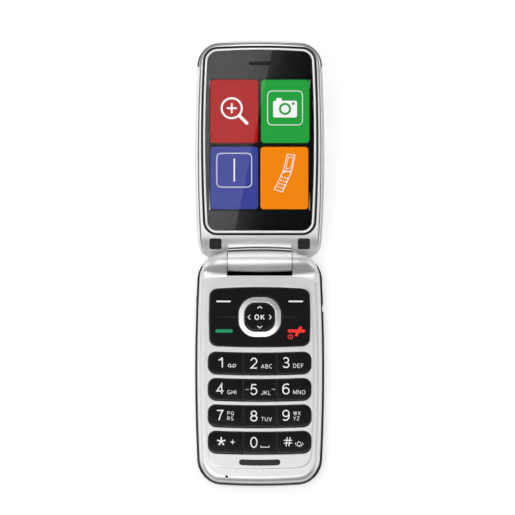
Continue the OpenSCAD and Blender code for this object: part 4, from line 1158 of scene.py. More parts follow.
@dataclass
class Keypad:
    """Four rows of three number keys with a crowned top, and their marks."""

    half_w: float = 22.4
    half_l: float = 4.8525
    radius: float = 3.5
    inner_radius: float = 0.55
    sag: float = 0.6
    first_y: float = 1.3475
    pitch: float = 11.665
    seam: float = 0.07
    middle: float = 7.3
    foot: float = 8.7
    edge: float = 0.38
    crown: Pair = (0.06, 0.08)
    names: tuple[str, ...] = ("1", "2", "3", "4", "5", "6", "7", "8", "9", "star", "0", "hash")
    digits: str = "123456789*0#"
    letters: tuple[str, ...] = ("", "ABC", "DEF", "GHI", "JKL", "MNO", "PQ\nRS", "TUV", "WX\nYZ", "", "", "")
    mark_rise: float = 0.35
    mark_left: Point = (-18.9, -4.15, 9.85)
    digit_drop: float = 2.45
    digit_height: float = 4.85
    digit_stroke: float = 0.52
    one_shift: float = 0.6
    letter_shift: float = 4.75

    def row_y(self, row: int) -> float:
        """Middle of a row of keys."""
        return self.first_y - self.pitch * row

    def sagged(self, ring: Array, row: int) -> Array:
        """Moves a ring to its row; y rises by sag * (x / half width)^2."""
        rise = self.sag * (ring[:, 0] / self.half_w) ** 2 + self.row_y(row)
        return ring + np.column_stack([np.zeros(len(ring)), rise])

    def row_window(self, row: int) -> Plan:
        """Function from a growth to the plan of a whole row."""

        def ring(grow: float) -> Array:
            """The row's plan, grown outwards."""
            half = (self.half_w + grow, self.half_l + grow)
            return self.sagged(even_rect(half, self.radius + grow, 12, 24), row)

        return ring

    def span(self, column: int) -> Pair:
        """Middle and half width of a key in a column, which is -1, 0 or 1."""
        inner = self.middle + self.seam
        if column == 0:
            return 0.0, self.middle - self.seam
        return column * (inner + self.half_w) / 2, (self.half_w - inner) / 2

    def surface(self, column: int, row: int) -> Surface:
        """Crowned top: it falls away with the squares of the distances from the middle."""
        x0, a = self.span(column)
        y0 = self.row_y(row)

        def height(x: Array, y: Array) -> Array:
            """Height of the top at each point."""
            lift = self.sag * (x / self.half_w) ** 2
            fall = self.crown[0] * ((x - x0) / a) ** 2
            return KEY_TOP - fall - self.crown[1] * ((y - y0 - lift) / self.half_l) ** 2

        return height

    def build(self) -> None:
        """Builds each key with its marks."""
        for index, name in enumerate(self.names):
            row, column = divmod(index, 3)
            self.key("key_" + name, column - 1, row)
            self.marks("key_" + name, index, column - 1, row)

    def key(self, name: str, column: int, row: int) -> None:
        """Key with straight sides, a rounded edge and a crowned top."""
        x0, a = self.span(column)
        right = self.radius if column == 1 else self.inner_radius
        left = self.radius if column == -1 else self.inner_radius
        radii = np.array([right, left, left, right])
        height = self.surface(column, row)

        def ring(inset: float) -> Array:
            """The key's plan, drawn in."""
            corner = tuple(np.maximum(radii - inset, 0.12))
            plain = rounded_rect(a - inset, self.half_l - inset, corner, 10, 10)
            return self.sagged(plain + [x0, 0], row)

        def on_top(flat: Array, drop: float) -> Array:
            """A flat ring laid on the crowned top, or a drop below it."""
            return at_height(flat, height(flat[:, 0], flat[:, 1]) - drop)

        rings = [at_height(ring(0), self.foot)]
        rings += [on_top(ring(run), drop) for run, drop in quarter_round(self.edge, self.edge, 7)]
        inner = inner_rings(ring(self.edge), (x0, self.row_y(row)), np.linspace(0.93, 0.03, 8))
        rings += [on_top(flat, 0.0) for flat in inner]
        settle(skin(name + "_cap", np.array(rings), 50), name, KEY_GLOSS, name)

    def marks(self, name: str, index: int, column: int, row: int) -> None:
        """Digit at the left of a key, and its letters or symbol beside it."""
        lift = self.sag * (self.span(column)[0] / self.half_w) ** 2
        y = self.row_y(row) + lift + self.mark_rise
        left = self.mark_left[column + 1]
        marks = Marks(name + "_legend", Half.BASE, self.surface(column, row))
        digit, letters = self.digits[index], self.letters[index]
        if digit == "*":
            self.star(marks, left + 2.15, y + 0.1)
        elif digit == "#":
            self.hash_sign(marks, left + 2.5, y)
        else:
            start = left + (self.one_shift if digit == "1" else 0)
            marks.write(digit, (start, y - self.digit_drop), self.digit_height, self.digit_stroke)
        side = left + self.letter_shift
        if "\n" in letters:
            for line, drop in zip(letters.split("\n"), (-0.05, 2.25)):
                marks.write(line, (side, y - drop), 1.7, 0.2, 0.4)
        elif letters:
            marks.write(letters, (side, y - 2.4), 1.9, 0.21, 0.42)
        else:
            self.symbol(marks, digit, side, y)
        if digit == "5":
            wave = np.array([[-0.75, -0.2], [-0.3, 0.25], [0.3, -0.15], [0.75, 0.3]])
            for x in (left - 1.35, left + 10.15):
                marks.line(wave + [x, y], 0.13)
        marks.build(LEGEND_INK, name)

    def star(self, marks: Marks, x: float, y: float) -> None:
        """Star of five arms about a point."""
        for turn in np.radians([90, 162, 234, 306, 18]):
            arm = np.linspace(0, 1.9, 5)[:, None] * [math.cos(turn), math.sin(turn)]
            marks.line(arm + [x, y], 0.6)

    def hash_sign(self, marks: Marks, x: float, y: float) -> None:
        """Hash of two slanting and two level bars about a point."""
        t = np.linspace(-1, 1, 7)
        for shift in (-0.62, 0.62):
            marks.line(np.stack([x + shift + 0.26 * t, y + 2.0 * t], axis=1), 0.4)
            marks.line(np.stack([x + 1.8 * t, y + shift + 0 * t], axis=1), 0.38)

    def symbol(self, marks: Marks, digit: str, x: float, y: float) -> None:
        """Small symbol beside a digit that has no letters."""
        if digit == "1":
            for centre in (1.0, 3.1):
                marks.line(circle(x + centre, y - 1.35, 0.6, 20), 0.26, closed=True)
            marks.line(densified(np.array([[x + 1.0, y - 1.95], [x + 3.1, y - 1.95]]), 0.5), 0.26)
        elif digit == "*":
            marks.line(np.array([[1.3, -0.1], [2.35, -0.1], [3.4, -0.1]]) + [x, y], 0.34)
            marks.line(np.array([[2.35, -1.1], [2.35, -0.1], [2.35, 0.9]]) + [x, y], 0.34)
        elif digit == "0":
            cup = np.array([[-0.1, -1.5], [-0.1, -2.15], [3.5, -2.15], [3.5, -1.5]])
            marks.line(densified(cup + [x, y], 0.5), 0.3)
        else:
            self.bell(marks, x + 2.6, y)

    def bell(self, marks: Marks, x: float, y: float) -> None:
        """Small bell between two angle marks."""
        dome = arc(x, y - 0.9, 0.75, 0.85, 180, 0, 13)
        skirt = [[x + 1.05, y - 1.75], [x - 1.05, y - 1.75]]
        marks.line(np.array(dome + skirt), 0.25, closed=True)
        marks.patch(circle(x, y - 2.05, 0.25, 10))
        for side in (-1, 1):
            near, far = x + side * 1.4, x + side * 1.75
            marks.line(np.array([[near, y - 1.5], [far, y - 0.9], [near, y - 0.3]]), 0.2)


@dataclass
class Navigation:
    """Panel of four function keys round the four-way ring and the OK key."""

    seam: float = 0.02
    ring_gap: float = 0.2
    band_width: float = 2.5
    edge: float = 0.26
    seam_edge: float = 0.02
    centre_y: float = 22.05
    foot: float = 8.7
    key_drop: float = 0.05
    ring_foot: float = 9.6
    ring_top: float = 11.25
    ring_slope: float = 0.3
    outer_edge: Pair = (0.35, 0.3)
    inner_edge: Pair = (0.4, 0.5)
    ok_flange: float = 3.0
    ok_crown: float = 0.12
    dash_y: float = 29.05
    bar_y: float = 15.95
    power_at: Pair = (13.4, 13.4)

    def build(self) -> None:
        """Builds the four keys, the ring, its plate, the OK key and their marks."""
        for name, sx, sy in (
            ("soft_key_left", -1, 1), ("soft_key_right", 1, 1), ("call_key", -1, -1), ("end_key", 1, -1)
        ):
            self.function_key(name, sx, sy)
        self.four_way_ring()
        self.ok_key()
        self.function_marks()
        self.ok_marks()

    def quarter(self, plan: Outline, inset: float, sx: int, sy: int, steps: int) -> Array:
        """The stretch of an outline in one quarter, from its upright seam to its level one.

        The outline's own points are kept by their angle about the middle, and the two
        ends are moved onto the seams.
        """
        ring = plan.ring(inset, 24, 60) - [0, self.centre_y]
        ring = ring[(ring[:, 0] * sx > 0) & (ring[:, 1] * sy > 0)]
        angle = np.arctan2(np.abs(ring[:, 1]), np.abs(ring[:, 0]))
        ring = ring[np.argsort(-angle)]
        length = np.concatenate([[0], np.cumsum(np.linalg.norm(np.diff(ring, axis=0), axis=1))])
        even = (1 - np.cos(np.linspace(0, np.pi, steps))) / 2 * length[-1]
        x, y = (np.interp(even, length, ring[:, k]) for k in (0, 1))
        x[0], y[-1] = sx * self.seam, sy * self.seam
        return np.stack([x, y + self.centre_y], axis=1)

    def function_key(self, name: str, sx: int, sy: int) -> None:
        """Patch between the ring's outline and the panel's, rounded down at its four edges.

        A point is (1 - v) * inner(u) + v * outer(u); its height falls from the top by
        0.9 * e * (1 - sqrt(1 - (1 - d / e)^2)) where its distance d from a border is below e.
        """
        inner = self.quarter(RING_PLAN, -self.ring_gap, sx, sy, 40)
        outer = self.quarter(NAV_PLAN, 0.0, sx, sy, 40)
        v = (1 - np.cos(np.linspace(0, np.pi, 22))) / 2
        grid = inner[:, None] * (1 - v)[None, :, None] + outer[:, None] * v[None, :, None]
        length = np.linalg.norm(outer - inner, axis=1)[:, None]
        to_seam = np.minimum(np.abs(grid[..., 0]), np.abs(grid[..., 1] - self.centre_y)) - self.seam
        border = np.minimum(v, 1 - v)[None] * length
        z = np.full(border.shape, PLATEAU_TOP - self.key_drop)
        for distance, reach in ((border, self.edge), (to_seam, self.seam_edge)):
            short = np.clip(1 - distance / reach, 0, 1)
            z -= reach * (1 - np.sqrt(1 - short**2)) * 0.9
        top = np.concatenate([grid, z[..., None]], axis=-1)
        low = np.concatenate([grid, np.full(z.shape + (1,), self.foot)], axis=-1)
        settle(new_object(name + "_cap", *slab(top, low), 50), name, KEY_GLOSS, name)

    def four_way_ring(self) -> None:
        """Plated ring: a band that slopes outwards, with rounded edges.

        Across it the height goes with s + 0.1 * sin(pi * s), as s runs from 0 to 1 inwards.
        """
        w, top, low = self.band_width, self.ring_top, self.ring_top - self.ring_slope
        start, stop = self.outer_edge[0], w - self.inner_edge[0] - 0.05
        outer = round_the_edge(0.0, low, self.outer_edge, 6)
        s = np.linspace(0.08, 0.96, 10)
        rise = (top - low) * (s + 0.1 * np.sin(np.pi * s))
        dish = np.column_stack([start + (stop - start) * s, low + rise])
        inner = [(w - run, top - drop) for run, drop in quarter_round(*self.inner_edge, 7)][::-1]
        section = np.vstack([(0.0, self.ring_foot), outer, dish, inner, (w, self.ring_foot)])
        obj = band("four_way_ring", swept(RING_PLAN, section, 24, 14), 60)
        settle(obj, "nav_ring", RING_METAL, "nav_ring")

    def ok_key(self) -> None:
        """Key in the middle of the ring, crowned, with a rounded edge and its plunger."""
        inset, flange = self.band_width + self.ring_gap, self.ring_foot + 0.3
        plunger, top = inset + self.ok_flange, PLATEAU_TOP - 0.02
        steps = [(plunger, self.foot), (plunger, flange), (inset, flange)]
        steps += round_the_edge(inset, top, (0.55, 0.5), 7)
        rings = list(stacked(RING_PLAN, np.array(steps), 20, 10))
        shares = np.linspace(0.92, 0.04, 8)
        crowned = inner_rings(rings[-1][:, :2], (0, self.centre_y), shares)
        rings += [at_height(flat, top + self.ok_crown * (1 - s**2)) for s, flat in zip(shares, crowned)]
        settle(skin("ok_cap", np.array(rings), 60), "ok_key", KEY_GLOSS, "ok_key")

    def function_marks(self) -> None:
        """Dashes on the soft keys, a green bar on the call key, a red one on the end key."""
        flat = level(PLATEAU_TOP - self.key_drop)
        for name, x0, x1 in (("soft_key_left", -18.95, -12.6), ("soft_key_right", 12.55, 18.95)):
            marks = Marks(name + "_dash", Half.BASE, flat)
            marks.patch(lozenge(x0, x1, self.dash_y, 0.68))
            marks.build(LEGEND_INK, name)
        call = Marks("call_bar", Half.BASE, flat)
        call.patch(lozenge(-19.4, -11.7, self.bar_y, 1.45))
        call.build(GREEN_INK, "call_key")
        end = Marks("end_bar", Half.BASE, flat)
        end.patch(lozenge(12.2, 19.9, self.bar_y, 1.4))
        stroke = [(16.05, 14.2), (16.9, 15.85), (17.85, 17.4)]
        end.line(np.array(stroke), 1.25)
        for x, y in (stroke[0], stroke[-1]):
            end.patch(circle(x, y, 0.66, 18))
        x, y = self.power_at
        end.line(circle(x, y, 0.98, 30), 0.32, closed=True)
        end.line(np.array([[x, y - 0.5], [x, y + 0.5]]), 0.36)
        end.build(RED_INK, "end_key")

    def ok_marks(self) -> None:
        """The letters OK with a chevron on each side of them."""
        y = self.centre_y

        def crowned(px: Array, py: Array) -> Array:
            """Height of the crowned top, which falls with the square of the way to the edge."""
            reach = np.maximum(np.abs(px) / 5.95, np.abs(py - y) / 5.6)
            return PLATEAU_TOP + 0.1 - self.ok_crown * reach**2

        marks = Marks("ok_legend", Half.BASE, crowned)
        marks.write("OK", (-2.3, y - 1.25), 2.5, 0.46, 0.6)
        for dx, dy in ((0, 1), (0, -1), (1, 0), (-1, 0)):
            tip = np.array([dx * 5.05, y + dy * 4.8])
            back, across = np.array([-dx, -dy]) * 0.9, np.array([dy, dx]) * 1.05
            marks.line(np.array([tip + back + across, tip, tip + back - across]), 0.4)
        marks.build(OK_INK, "ok_key")


def slab(top: Array, low: Array) -> tuple[Array, list[list[int]]]:
    """Closed solid between two grids."""
    rows, columns = top.shape[:2]
    count = rows * columns
    index = np.arange(count).reshape(rows, columns)
    upper = grid_faces(rows, columns, False)
    lower = upper[:, ::-1] + count
    edge = np.concatenate([index[0, :-1], index[:-1, -1], index[-1, :0:-1], index[:0:-1, 0]])
    after = np.roll(edge, -1)
    wall = np.stack([edge, after, after + count, edge + count], axis=1)
    faces = np.concatenate([upper, lower, wall]).tolist()
    return np.concatenate([top.reshape(-1, 3), low.reshape(-1, 3)]), faces


BUMPER = Bumper()
KEYPAD = Keypad()


# ---------------------------------------------------------------- lid


def box_ring(x0: float, x1: float, y0: float, y1: float, radius: float, arc: int, side: int) -> Array:
    """Rectangle on the closed lid between two x and two distances from the hinge axis."""
    return even_rect(((x1 - x0) / 2, (y1 - y0) / 2), radius, arc, side, ((x0 + x1) / 2, -(y0 + y1) / 2))


@dataclass(frozen=True)
class Tile:
    """One lit patch of the menu: its place on the display and its colour."""

    name: str
    x0: float
    x1: float
    y0: float
    y1: float
    colour: tuple[int, int, int]

    def glow(self) -> Finish:
        """Finish of the tile, and of the signs that are cut out of its symbol."""
        return Lit(self.name + "_glow", "display_panel", linear(*self.colour), strength=1.06)


@dataclass
class Display:
    """Lens with its printed mask, and the lit menu on the panel under it.

    y is the distance from the hinge axis, and heights run down from the closed lid's face.
    """

    lens_top: float = 0.65
    lens_low: float = 1.4
    lens_edge: Pair = (0.3, 0.25)
    mask_top: float = 1.44
    mask_low: float = 1.6
    mask_inset: float = 0.15
    panel_top: float = 2.25
    tile_height: float = 0.03
    tile_radius: float = 1.5
    window: tuple[float, float, float, float] = (-21.95, 21.95, 22.2, 80.6)
    window_radius: float = 0.8
    cut_depth: float = 3.0
    slot_y: float = 87.6
    slot_half: Pair = (4.8, 0.85)
    symbol_rise: float = 0.04
    ring_rise: float = 0.07
    tiles: tuple[Tile, ...] = (
        Tile("tile_red", -21.63, -0.70, 52.12, 80.06, (170, 10, 14)),
        Tile("tile_green", 0.57, 21.67, 52.12, 80.06, (34, 158, 60)),
        Tile("tile_blue", -21.49, -0.70, 22.81, 50.39, (56, 64, 148)),
        Tile("tile_orange", 0.35, 21.19, 22.81, 50.39, (242, 132, 0)),
    )

    def build(self) -> None:
        """Builds the lens, the mask, the panel's tiles and their symbols."""
        self.lens()
        self.mask()
        for tile in self.tiles:
            ring = box_ring(tile.x0, tile.x1, tile.y0, tile.y1, self.tile_radius, 10, 10)
            obj = prism(tile.name, ring, self.panel_top - self.tile_height, self.panel_top)
            settle(lid_piece(obj), "lid", tile.glow())
        marks = Marks("menu_symbols", Half.LID, level(self.symbol_rise - self.panel_top))
        self.camera_symbol(marks, 11.05, 67.6)
        self.bar_symbol(marks, -11.1, 40.1)
        self.phone_symbol(marks, 10.8, 38.8)
        self.magnifier_symbol(marks, -11.0, 66.3)
        marks.build(WHITE_GLOW, "lid")

    def slot(self) -> Piece:
        """Cutter of the earpiece slot, for the closed lid."""
        a, b = self.slot_half
        ring = even_rect((a, b), b * ROUND_END, 10, 8, (0, -self.slot_y))
        return prism("slot", ring, 0.0, self.cut_depth)

    def lens(self) -> None:
        """Clear sheet with softly rounded edges, and a slot for the earpiece."""
        steps = round_the_edge(0.0, self.lens_top, self.lens_edge, 5, 1)[::-1] + [(0.0, self.lens_low)]
        obj = combine(skin("lens_sheet", stacked(LENS_PLAN, np.array(steps), 14, 18)), [self.slot()])
        shade(obj.data, 30)
        soften(lid_piece(obj), 0.12, 50)
        settle(obj, "lid", GLASS, "display_lens")

    def mask(self) -> None:
        """Dark print behind the lens, open over the picture and the earpiece."""
        steps = np.array([(self.mask_inset, self.mask_top), (self.mask_inset, self.mask_low)])
        hole = prism("window", box_ring(*self.window, self.window_radius, 8, 6), 0.0, self.cut_depth)
        obj = combine(skin("lens_mask", stacked(LENS_PLAN, steps)), [hole, self.slot()])
        shade(obj.data, 30)
        settle(lid_piece(obj), "lid", MASK_INK)

    def symbol_frame(self, marks: Marks, x: float, y: float) -> None:
        """Thin rounded frame round a symbol."""
        marks.line(even_rect((7.6, 7.5), 2.0, 8, 4, (x, y)), 0.3, closed=True)

    def camera_symbol(self, marks: Marks, x: float, y: float) -> None:
        """Filled camera in a frame, with its lens and flash in the tile's colour."""
        self.symbol_frame(marks, x, y)
        marks.patch(even_rect((5.2, 3.7), 0.8, 6, 4, (x, y - 0.5)))
        marks.patch(even_rect((1.2, 0.8), 0.3, 4, 2, (x - 2.6, y + 3.6)))
        ring = Marks("camera_ring", Half.LID, level(self.ring_rise - self.panel_top))
        ring.line(circle(x, y - 0.4, 2.2, 40), 0.95, closed=True)
        ring.patch(circle(x + 3.6, y + 1.9, 0.62, 20))
        ring.build(self.tiles[1].glow(), "lid")

    def bar_symbol(self, marks: Marks, x: float, y: float) -> None:
        """Upright light bar in a frame."""
        self.symbol_frame(marks, x, y)
        marks.patch(even_rect((0.3, 5.1), 0.28, 4, 2, (x, y)))

    def phone_symbol(self, marks: Marks, x: float, y: float) -> None:
        """Open flip phone in thin outline, seen at a slant."""
        upper = [(-0.6, 0.3), (3.2, 1.1), (4.6, 8.0), (1.2, 8.3)]
        lower = [(-4.4, -7.2), (-0.9, -8.4), (3.0, 0.4), (-0.4, 1.2)]
        screen = [(0.6, 1.9), (2.9, 2.3), (3.8, 6.9), (1.7, 7.1)]
        for shape, width in ((upper, 0.32), (lower, 0.32), (screen, 0.24)):
            marks.line(np.array(shape) + [x, y], width, closed=True)
        for row in range(4):
            for column in range(3):
                dot = (-2.7 + 1.05 * column + 0.62 * row, -6.1 - 0.3 * column + 1.45 * row)
                marks.patch(circle(x + dot[0], y + dot[1], 0.33, 10))

    def magnifier_symbol(self, marks: Marks, x: float, y: float) -> None:
        """Magnifying glass with a plus in it."""
        marks.line(circle(x - 1.2, y + 1.2, 4.4, 40), 0.85, closed=True)
        for path, width in (
            ([[2.1, -2.1], [5.8, -5.8]], 1.35),
            ([[-3.4, 1.2], [1.0, 1.2]], 0.75),
            ([[-1.2, -1.0], [-1.2, 3.4]], 0.75),
        ):
            marks.line(np.array(path) + [x, y], width)


@dataclass(frozen=True)
class Rim:
    """Section of a band that runs round the lens, from one growth of its plan to another.

    Across the top the height is crest - rise * sin(t)^power, as t goes from 0 to pi.
    """

    inner: float
    outer: float
    foot: float
    crest: float
    rise: float
    power: float
    steps: int

    def section(self) -> Array:
        """Pairs (inset, height) of the rounded top between two straight sides."""
        t = np.linspace(0, np.pi, self.steps)
        middle, half = (self.inner + self.outer) / 2, (self.outer - self.inner) / 2
        height = self.crest - self.rise * np.sin(t) ** self.power
        top = np.column_stack([-(middle + half * np.cos(t)), height])
        return np.vstack([(-self.outer, self.foot), top, (-self.inner, self.foot)])


@dataclass
class LidShell:
    """Outer pieces of the lid, worked out for the closed lid.

    Heights are counted from the hinge axis, and grow away from the inner face.
    """

    face: float = 0.4
    seam_z: float = 3.55
    roll_start: float = -11.6
    roll_end: float = -5.1
    roll_drop: float = 2.2
    wide_draw: Pair = (0.5, 2.2)
    frame_inset: float = 1.7
    frame_edge: Pair = (0.34, 0.45)
    seal: Rim = Rim(0.95, 1.87, 2.0, 0.72, 0.25, 1.0, 9)
    trim: Rim = Rim(0.03, 0.9, 1.95, 0.7, 0.26, 0.8, 13)
    opening_inset: float = 1.4
    well_inset: float = 2.65
    well_low: float = 2.65
    well_end: float = -10.8
    above: float = -1.0
    beyond: float = 9.0
    cut_half: float = 40.0
    scoop_radius: float = 5.1
    neck_half: float = 13.8
    neck_bow: float = 0.45
    barrel_half: float = 13.95
    barrel_radius: float = 4.6
    barrel_draw: float = 0.4
    cartridge_ends: Pair = (-11.9, 14.2)
    cartridge_radius: float = 2.95
    collar_ends: Pair = (-14.2, 0.0)
    collar_radius: float = 2.35
    plug_x: float = 19.3
    plug_y: float = -7.55
    plug_half: Pair = (2.62, 2.55)
    plug_corner: float = 0.9
    plug_edge: Pair = (0.2, 0.18)
    plug_rise: float = 0.02
    screw_radius: float = 1.05
    head_low: float = 2.7
    head_sink: float = 1.0
    rail_half: float = 0.22
    rail_inset: float = 1.08
    rail_top: float = 0.95
    rail_foot: float = 3.5
    rail_start: float = -3.0
    cap_end: float = -85.9
    cap_lap: float = 0.28

    def build(self) -> None:
        """Builds the pieces that frame the lens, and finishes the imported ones."""
        self.frame_piece()
        self.screws()
        self.neck_piece()
        for name, node, rim, finish in (
            ("lens_seal", "lens_gasket", self.seal, SEAL_RUBBER),
            ("lens_surround", "lens_trim", self.trim, CHROME),
        ):
            settle(lid_piece(band(name, swept(LENS_PLAN, rim.section(), 16, 18), 50)), "lid", finish, node)
        self.plugs()
        self.rails()
        self.cap()
        self.cap_line()
        self.back_cover()
        for node, name, width, finish in (
            ("outer_window", "outer_glass", 0.15, WINDOW_GLOSS),
            ("camera_lens_cover", "camera_glass", 0.15, CAMERA_GLASS),
            ("notification_light", "light_bar", 0.08, LIGHT_GUIDE),
            ("earpiece_mesh", "earpiece_grille", 0.0, EARPIECE_MESH),
        ):
            finished_copy(node, name, width, finish)

    def roll(self, y: Array) -> Array:
        """How far the inner face rolls away near the hinge: drop * (share of the way)^2."""
        share = np.clip((y - self.roll_start) / (self.roll_end - self.roll_start), 0, 1.12)
        return self.roll_drop * share**2

    def rolled(self, ring: Array, height: float) -> Array:
        """A flat ring at a height, rolled away near the hinge the more the nearer the face."""
        share = np.clip((self.seam_z - height) / (self.seam_z - self.face), 0, 1)
        return at_height(ring, height + share * self.roll(ring[:, 1]))

    def drawn_in(self, points: Array) -> Array:
        """Points of the closed lid with the corners at the hinge drawn in.

        The half width shrinks by 0.5 * s^2 + 2.2 * t^4, where s and t are the shares of
        the way from y = -30 and from y = -12 to y = -2.
        """
        s = np.clip((points[..., 1] + 30) / 28, 0, 1.1)
        t = np.clip((points[..., 1] + 12) / 10.1, 0, 1.15)
        out = points.copy()
        out[..., 0] *= 1 - (self.wide_draw[0] * s**2 + self.wide_draw[1] * t**4) / LID_PLAN.half_w
        return out

    def back_cover(self) -> None:
        """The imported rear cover, cut into strips 1 mm apart and with the same corners drawn in."""
        mesh = finished_copy("lid_rear_cover", "lid_back", 0.15, FRAME_SILVER).data
        bm = bmesh.new()
        bm.from_mesh(mesh)
        bm.transform(OPENING.inverted())
        for cut in np.arange(-30, -1, 1.0):
            every = bm.verts[:] + bm.edges[:] + bm.faces[:]
            bmesh.ops.bisect_plane(bm, geom=every, plane_co=(0, cut * MM, 0), plane_no=(0, 1, 0))
        bm.to_mesh(mesh)
        bm.free()
        put_points(mesh, self.drawn_in(mesh_points(mesh)))
        mesh.transform(OPENING)
        mesh.update()

    def screws(self) -> None:
        """The lid's screws, with their heads sunk under the rolled plugs."""
        mesh = finished_copy("lid_screws", "lid_screw_pair", 0.0, STEEL).data
        mesh.transform(OPENING.inverted())
        points = mesh_points(mesh)
        points[points[:, 2] < self.head_low, 2] += self.head_sink
        put_points(mesh, points)
        mesh.transform(OPENING)
        mesh.update()

    def frame_piece(self) -> None:
        """Frame with a rounded outer edge, pockets for the seal and plugs, and the barrel."""
        steps = [(1.35, self.seam_z), (1.35, 2.9), (self.frame_inset, 2.7), (self.frame_inset, 1.1)]
        steps += round_the_edge(self.frame_inset, self.face, self.frame_edge, 6, 1)[1:]
        rings = [self.rolled(LID_PLAN.ring(inset, 16, 60), height) for inset, height in steps]
        last = LID_PLAN.ring(self.frame_inset + self.frame_edge[0], 16, 60)
        inner = inner_rings(last, (0, LID_PLAN.centre_y), np.linspace(0.985, 0.6, 30))
        rings += [self.rolled(flat, self.face) for flat in inner]
        obj = skin("lid_frame", self.drawn_in(np.array(rings)))
        combine(obj, self.frame_cutters())
        combine(obj, [self.barrel()], Join.ADD)
        cartridge = self.rod("cartridge_bore", self.cartridge_ends, self.cartridge_radius)
        collar = self.rod("collar_bore", self.collar_ends, self.collar_radius)
        combine(obj, [cartridge, collar])
        shade(obj.data, 34)
        soften(lid_piece(obj), 0.06, 40)
        # The frame wears the lighter copy of the silver lacquer: painted light on the lid's tilted face.
        settle(obj, "lid", LID_SILVER_BRIGHTENED, "lid_front_bezel")

    def frame_cutters(self) -> list[Piece]:
        """Everything that is cut out of the frame."""
        seal = LENS_PLAN.ring(-self.seal.outer - 0.03, 16, 24)
        opening = LENS_PLAN.ring(self.opening_inset, 16, 24)
        well = LID_PLAN.ring(self.well_inset, 16, 24)
        well[:, 1] = np.minimum(well[:, 1], self.well_end)
        trench = np.array([(-6.9, self.above), (-6.9, 2.6), (-4.9, 2.6), (-4.9, self.above)])
        half = self.neck_half + 0.02
        tools = [
            prism("seal_pocket", seal, self.above, 2.15),
            prism("opening", opening, self.above, self.beyond),
            prism("well", well, self.well_low, self.beyond),
            self.rod("scoop", (-self.cut_half, self.cut_half), self.scoop_radius),
            prism_across("trench", trench, (-half, half)),
        ]
        for side in (-1, 1):
            hole = circle(side * self.plug_x, self.plug_y, self.screw_radius)
            tools.append(prism("plug_pocket", self.plug_ring(side, 0.05), self.above, 3.25))
            tools.append(prism("screw_hole", hole, 3.0, self.beyond))
        return tools

    def rod(self, name: str, ends: Pair, radius: float) -> Piece:
        """Round bar along the hinge axis of the closed lid, between two ends."""
        return lathe(name, np.array([(x, radius) for x in ends]), 72)

    def barrel(self) -> Piece:
        """Barrel of radius 4.6 - 0.4 * (x / 14)^2 with a web back to the frame."""
        x = np.linspace(-self.barrel_half, self.barrel_half, 25)
        radius = self.barrel_radius - self.barrel_draw * (x / 14) ** 2
        barrel = lathe("barrel", np.column_stack([x, radius]), 96)
        web = np.array([(-10.8, 2.7), (-10.8, 3.5), (-1.4, 3.5), (-1.4, 1.9), (-5.6, 1.9), (-5.6, 2.7)])
        return combine(barrel, [prism_across("web", web, (-self.neck_half, self.neck_half))], Join.ADD)

    def bowed(self, name: str, profile: list[Pair], half: float) -> Piece:
        """Profile (y, height) carried across the neck; y grows by 0.45 * (x / neck half)^2."""
        side = np.array(profile)
        x = np.linspace(-half, half, 25)[:, None]
        y = side[:, 0] + self.neck_bow * (x / self.neck_half) ** 2
        rings = np.stack(np.broadcast_arrays(x, y, side[:, 1]), axis=-1)
        return lid_piece(skin(name, rings, 30))

    def neck_piece(self) -> None:
        """Plate between the frame and the barrel, with two deep grooves whose floors are dark strips of
        painted shade.
        """
        profile = [
            (-9.2, 2.9), (-9.2, 1.7), (-7.25, 1.15), (-6.75, 0.95), (-6.3, 1.0), (-6.25, 2.35), (-5.62, 2.35),
            (-5.58, 1.55), (-5.15, 1.5), (-5.1, 2.6), (-4.45, 2.6), (-4.45, 2.9),
        ]
        plate = self.bowed("hinge_steps", profile, self.neck_half)
        settle(soften(plate, 0.08, 35), "lid", SILVER)
        # The grooves' floors get dark strips: painted shade where the open grooves are lit.
        low = 2.68
        for name, near, far, top in (("groove_near_shade", -4.3, -5.12, 1.75), ("groove_far_shade", -5.6, -6.27, 1.7)):
            strip = [(far, top), (near, top), (near, low), (far, low)]
            settle(self.bowed(name, strip, self.neck_half - 0.05), "lid", GROOVE_SHADE_PAINT)

    def plug_ring(self, side: int, grow: float) -> Array:
        """Plan of a rubber plug, grown outwards."""
        half = (self.plug_half[0] + grow, self.plug_half[1] + grow)
        return even_rect(half, self.plug_corner + grow, 8, 8, (side * self.plug_x, self.plug_y))

    def plugs(self) -> None:
        """Two rubber plugs over the screws, flush with the rolled face."""
        points, faces = [], []
        top = self.face + self.plug_rise
        for side in (-1, 1):
            rings = [at_height(self.plug_ring(side, 0), 3.2)]
            for inset, height in round_the_edge(0.0, top, self.plug_edge, 4, 1):
                rings.append(self.rolled(self.plug_ring(side, -inset), height))
            last = self.plug_ring(side, -self.plug_edge[0])
            inner = inner_rings(last, (side * self.plug_x, self.plug_y), np.linspace(0.85, 0.1, 4))
            rings += [self.rolled(flat, top) for flat in inner]
            count = sum(len(part) for part in points)
            faces += [[k + count for k in face] for face in capped_faces(len(rings), len(last))]
            points.append(np.concatenate(rings))
        obj = lid_piece(new_object("plugs", np.concatenate(points), faces, 50))
        settle(obj, "lid", PLUG_RUBBER, "screw_plugs")

